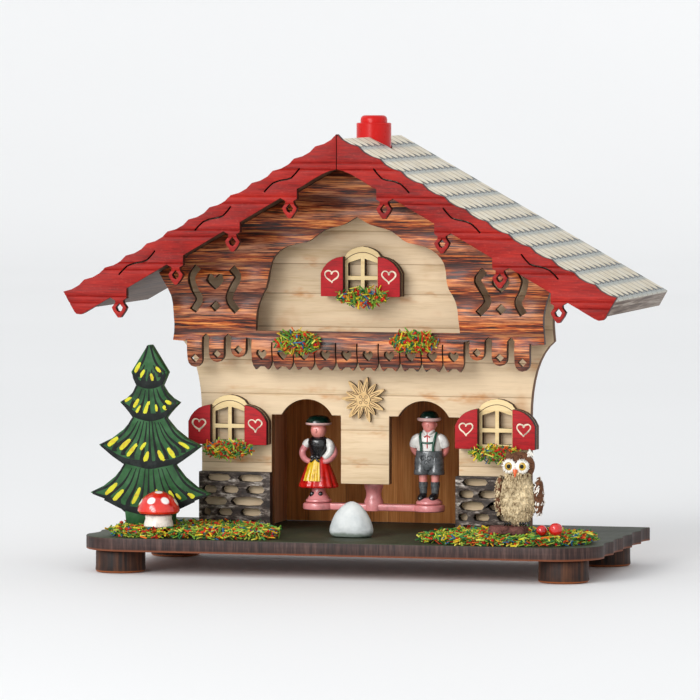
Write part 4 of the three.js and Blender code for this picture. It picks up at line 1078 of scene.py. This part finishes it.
womanBase = turnedOn("womanX", [(0, 0), (4.7, 0), (4.9, 0.3), (4.8, 0.9), (4.2, 1.2), (3.9, 1.8), (3.4, 2.5), (2.9, 3.2), (2.55, 4.3), (2.45, 7), (0, 7)])
piece(womanBase, "womanBase", "pink", "beam", ("woman_figure",))
shoes = bmesh.new()
for sign in (-1, 1):
    ball(shoes, at(sign * 1.6 - 0.3, -2.55, 2.95, "womanX"), (0.85 * mm, 0.7 * mm, 1.15 * mm), 18, 12, Matrix.Rotation(0.45, 4, "Y"))
piece(shoes, "womanShoes", "black", "beam")


def pleated(profile, pleats, depth, squash, who, spread=None, lift=0.0, steps=96):
    bm = turnedShape(profileMm(profile), steps)
    top = max(z for r, z in profile) * mm
    bottom = min(z for r, z in profile) * mm
    for vert in bm.verts:
        radius = vert.co.xy.length
        if radius > 1e-6:
            turn = math.atan2(vert.co.x, -vert.co.y)
            fall = (top - vert.co.z) / (top - bottom)
            vert.co.xy *= 1 + depth * fall * math.cos(pleats * turn) + lift / radius
    if spread:
        cutaway = [v for v in bm.verts if abs(math.atan2(v.co.x, -v.co.y)) > spread or v.co.y > 0]
        bmesh.ops.delete(bm, geom=cutaway, context="VERTS")
    bmesh.ops.transform(bm, matrix=Matrix.Translation(at(0, 0, 0, who)) @ Matrix.Diagonal((*squash, 1)), verts=bm.verts)
    return bm


skirtProfile = [(0, 5.6), (6.6, 5.3), (7.1, 5.5), (7.3, 6.0), (7.1, 6.9), (6.75, 7.3), (6.6, 8.2), (5.9, 10.2), (5.0, 12.6), (4.1, 14.8), (3.3, 16.3), (2.9, 16.9), (0, 17)]
piece(pleated(skirtProfile, 14, 0.045, (1, 0.86, 1), "womanX"), "womanSkirt", "skirtRed", "beam", crease=60)
apron = pleated([(6.65, 8.0), (5.9, 10.2), (5.0, 12.6), (4.1, 14.8), (3.3, 16.3), (3.0, 16.8)], 22, 0.035, (1, 0.86, 1), "womanX", 0.56, 0.22 * mm, 144)
bmesh.ops.rotate(apron, verts=apron.verts, cent=at(0, 0, 0, "womanX"), matrix=Matrix.Rotation(-0.24, 3, "Z"))
bmesh.ops.recalc_face_normals(apron, faces=apron.faces)
bmesh.ops.solidify(apron, geom=apron.faces[:], thickness=-0.3 * mm)
bmesh.ops.recalc_face_normals(apron, faces=apron.faces)
piece(apron, "womanApron", "yellow", "beam", crease=60)
bodice = turnedOn("womanX", [(0, 16), (2.7, 16.1), (2.75, 17), (3.2, 18.6), (4.0, 20.8), (4.4, 22.4), (3.8, 23.6), (2.2, 24.5), (0, 24.8)], 40, (1, 0.68, 1))
piece(bodice, "womanBodice", "black", "beam")
lace = bmesh.new()
for k in range(3):
    z = 18.6 + k * 1.5
    y = -2.45 - k * 0.18
    strand(lace, [at(-0.9, y, z, "womanX"), at(0, y - 0.12, z + 0.35, "womanX"), at(0.9, y, z, "womanX")], 0.16 * mm, sides=1)
for sign in (-1, 1):
    ball(lace, at(sign * 1.1 - 0.5, -3.3, 16.9, "womanX"), (1.1 * mm, 0.6 * mm, 0.75 * mm), 14, 10, Matrix.Rotation(sign * 0.5, 4, "Y"))
    limb(lace, "womanX", [(sign * 0.3 - 0.5, -3.4, 16.5), (sign * 1.1 - 0.5, -3.75, 15.7), (sign * 1.7 - 0.5, -3.8, 15.1)], [0.45, 0.5, 0.3])
ball(lace, at(-0.5, -3.5, 16.7, "womanX"), (0.55 * mm, 0.55 * mm, 0.55 * mm), 12, 8)
piece(lace, "womanBow", "black", "beam")
arms = bmesh.new()
for sign in (-1, 1):
    limb(arms, "womanX", [(sign * 3.6, 0, 22.4), (sign * 5.2, 0, 20.6), (sign * 6.2, -0.2, 18.6), (sign * 5.4, -1.2, 16.6), (sign * 3.6, -2.2, 15.4), (sign * 2.4, -2.8, 15.2)],
         [1.2, 1.35, 1.3, 1.2, 1.05, 0.8])
limb(arms, "womanX", [(0, 0, 23.6), (0, 0, 25.6)], [1.6, 1.5])
piece(arms, "womanArms", "pink", "beam", crease=60)
sleeves = bmesh.new()
limb(sleeves, "womanX", [(-3.3, -0.2, 23.0), (-4.5, -0.3, 21.9), (-5.2, -0.4, 20.9)], [1.1, 1.5, 1.35])
limb(sleeves, "womanX", [(3.0, -0.3, 23.1), (4.6, -0.7, 21.6), (5.0, -1.2, 19.6), (4.0, -2.0, 17.6), (2.7, -2.8, 16.5)], [1.1, 1.6, 1.55, 1.35, 1.0])
piece(sleeves, "womanSleeves", "white", "beam", crease=60)
head = bmesh.new()
ball(head, at(0, 0, 26.9, "womanX"), (3.0 * mm, 3.1 * mm, 3.3 * mm), 28, 20)
for vert in head.verts:
    spot = vert.co - at(0, 0, 26.9, "womanX")
    if spot.y < 0:
        vert.co.y += 0.22 * mm * math.cos(spot.x / mm * 1.6) * max(0, 1 - abs(spot.z / mm) / 3)
ball(head, at(-0.25, -2.95, 26.7, "womanX"), (0.42 * mm, 0.5 * mm, 0.8 * mm), 12, 8)
piece(head, "womanHead", "skin", "beam", crease=60)
brim = turnedOn("womanX", [(0, 28.9), (4.2, 28.8), (4.8, 29.0), (5.0, 29.4), (4.85, 29.75), (0, 29.9)], 44)
piece(brim, "womanBrim", "palePink", "beam")
hat = turnedOn("womanX", [(0, 29.6), (4.75, 29.6), (4.7, 30.0), (4.3, 30.9), (3.7, 31.7), (2.8, 32.2), (1.5, 32.5), (0, 32.6)], 44)
piece(hat, "womanHat", "hatGreen", "beam")

manBase = turnedOn("manX", [(0, 0), (4.8, 0), (5.0, 0.3), (4.9, 0.9), (4.3, 1.3), (3.6, 1.9), (2.6, 2.3), (0, 2.5)])
piece(manBase, "manBase", "pink", "beam", ("man_figure",))
legs, socks, manShoes = bmesh.new(), bmesh.new(), bmesh.new()
for sign in (-1, 1):
    limb(legs, "manX", [(sign * 2.2, 0, 3), (sign * 2.3, 0, 6.5), (sign * 2.35, 0, 9), (sign * 2.4, 0, 12)], [1.2, 1.45, 1.55, 1.65])
    limb(socks, "manX", [(sign * 2.2, 0, 2.6), (sign * 2.25, 0, 5), (sign * 2.3, 0, 7.2), (sign * 2.3, 0, 7.9)], [1.35, 1.5, 1.62, 1.68])
    for k in range(4):
        z = 6.2 + k * 0.55
        joined(socks, turnedOn("manX", [(0, z), (1.66, z), (1.8, z + 0.12), (1.8, z + 0.3), (1.66, z + 0.42), (0, z + 0.42)], 28, (1, 1, 1), sign * 2.3))
    ball(manShoes, at(sign * 2.2 - 0.2, -1.2, 2.75, "manX"), (1.65 * mm, 2.7 * mm, 1.4 * mm), 20, 14, Matrix.Rotation(-0.25, 4, "Z") @ Matrix.Rotation(0.42, 4, "X"))
piece(legs, "manLegs", "skin", "beam", crease=60)
piece(socks, "manSocks", "grey", "beam", crease=60)
piece(manShoes, "manShoes", "black", "beam", crease=60)
shorts = bmesh.new()
for sign in (-1, 1):
    legPart = [(0, 10.9), (2.5, 10.9), (3.15, 11.0), (3.3, 11.4), (3.25, 12.6), (3.05, 13.0), (3.1, 15), (2.9, 17.4), (0, 17.8)]
    joined(shorts, turnedOn("manX", legPart, 36, (0.95, 1.1, 1), sign * 2.75))
hips = [(0, 12.6), (4.4, 12.8), (5.4, 14.2), (5.5, 15.4), (5.35, 17.4), (5.1, 19.0), (5.1, 19.7), (4.8, 20.0), (0, 20)]
joined(shorts, turnedOn("manX", hips, 48, (1, 0.68, 1)))
piece(shorts, "manShorts", "grey", "beam", crease=60)
emboss = bmesh.new()
for cx, cz, rr in ((-1.6, 17.2, 1.3), (1.0, 17.2, 1.3), (-0.3, 15.6, 1.0)):
    swirl = [at(cx + rr * (1 - k / 11) * math.cos(k * 0.8), -3.62 - 0.02 * k, cz + rr * (1 - k / 11) * math.sin(k * 0.8), "manX") for k in range(9)]
    strand(emboss, swirl, 0.17 * mm, sides=1)
strand(emboss, [at(3.1, -3.15, 18.8, "manX"), at(3.15, -3.2, 17.2, "manX"), at(3.1, -3.2, 15.8, "manX")], 0.16 * mm, sides=1)
piece(emboss, "manEmboss", "grey", "beam", crease=60)
shirt = turnedOn("manX", [(0, 19.6), (4.7, 19.7), (4.9, 21), (5.0, 23.2), (4.7, 25), (3.6, 26.3), (2.1, 27.1), (0, 27.3)], 44, (1, 0.66, 1))
for sign in (-1, 1):
    limb(shirt, "manX", [(sign * 3.4, 0, 25.1), (sign * 4.9, 0.1, 24.0), (sign * 5.8, 0.3, 22.2), (sign * 6.0, 0.5, 21.4)], [1.6, 1.95, 1.9, 1.7])
piece(shirt, "manShirt", "white", "beam", crease=60)
manArms = bmesh.new()
for sign in (-1, 1):
    limb(manArms, "manX", [(sign * 5.4, 0.3, 23.4), (sign * 6.3, 0.6, 21.6), (sign * 6.2, 1.2, 20.2), (sign * 5.0, 2.0, 18.4), (sign * 3.9, 2.6, 17.6)],
         [1.15, 1.25, 1.2, 1.1, 0.9])
limb(manArms, "manX", [(0, 0, 26.4), (0, 0, 28.4)], [1.7, 1.6])
piece(manArms, "manArms", "skin", "beam", crease=60)
collar = bmesh.new()
for sign in (-1, 1):
    limb(collar, "manX", [(sign * 1.9, -0.6, 27.4), (sign * 1.4, -2.0, 26.9), (sign * 0.5, -2.9, 26.1), (sign * 1.7, -2.9, 25.5)], [0.5, 0.6, 0.5, 0.25])
piece(collar, "manCollar", "white", "beam", crease=60)
tie = bmesh.new()
limb(tie, "manX", [(0, -2.9, 26.2), (-0.7, -3.1, 25.5), (-1.1, -3.2, 24.9)], [0.25, 0.32, 0.2])
limb(tie, "manX", [(0, -2.9, 26.2), (0.6, -3.1, 25.5), (0.9, -3.2, 24.9)], [0.25, 0.32, 0.2])
limb(tie, "manX", [(0, -3.0, 26.0), (0, -3.35, 23.4), (0, -3.4, 21.0)], [0.2, 0.22, 0.18])
piece(tie, "manTie", "skirtRed", "beam", crease=60)
braces = bmesh.new()
for sign in (-1, 1):
    limb(braces, "manX", [(sign * 3.0, -0.6, 26.8), (sign * 2.9, -2.4, 25.2), (sign * 2.6, -3.2, 23.2), (sign * 2.3, -3.3, 21.4), (sign * 2.3, -3.3, 19.9)], [0.42, 0.52, 0.54, 0.52, 0.5])
limb(braces, "manX", [(-2.6, -3.2, 23.2), (0, -3.5, 22.9), (2.6, -3.2, 23.2)], [0.34, 0.4, 0.34])
piece(braces, "manBraces", "braces", "beam", crease=60)
head = bmesh.new()
ball(head, at(0, 0, 29.6, "manX"), (2.6 * mm, 2.7 * mm, 3.1 * mm), 28, 20)
ball(head, at(0, -2.5, 29.4, "manX"), (0.5 * mm, 0.5 * mm, 0.7 * mm), 12, 8)
for sign in (-1, 1):
    ball(head, at(sign * 2.55, 0.3, 29.6, "manX"), (0.45 * mm, 0.6 * mm, 0.8 * mm), 12, 8)
piece(head, "manHead", "skin", "beam", crease=60)
brim = turnedOn("manX", [(0, 31.0), (3.9, 30.95), (4.4, 31.2), (4.6, 31.75), (4.4, 32.2), (3.8, 32.3), (0, 32.4)], 44)
piece(brim, "manBrim", "palePink", "beam")
hat = turnedOn("manX", [(0, 32.1), (3.7, 32.1), (3.65, 32.6), (3.3, 33.5), (2.6, 34.3), (1.5, 34.85), (0, 35.0)], 44)
piece(hat, "manHat", "hatGreen", "beam")
print("figures")


# floor
floorProfile = [(0, 0), (0.3, 0), (1.2, 0), (studio["floorRadius"], 0)]
for k in range(1, 9):
    a = math.pi / 2 * k / 8
    floorProfile.append((studio["floorRadius"] + studio["cove"] * math.sin(a), studio["cove"] * (1 - math.cos(a))))
floorBm = turnedShape(floorProfile, 64)
floorMesh = bpy.data.meshes.new("floor")
bmesh.ops.reverse_faces(floorBm, faces=[f for f in floorBm.faces if f.normal.z < 0])
floorBm.to_mesh(floorMesh)
floorBm.free()
for polygon in floorMesh.polygons:
    polygon.use_smooth = True
paints["floor"] = floorFinish()
floorMesh.materials.append(paints["floor"])
floorObj = link(bpy.data.objects.new("floor", floorMesh))
floorObj.location.z = -0.0002
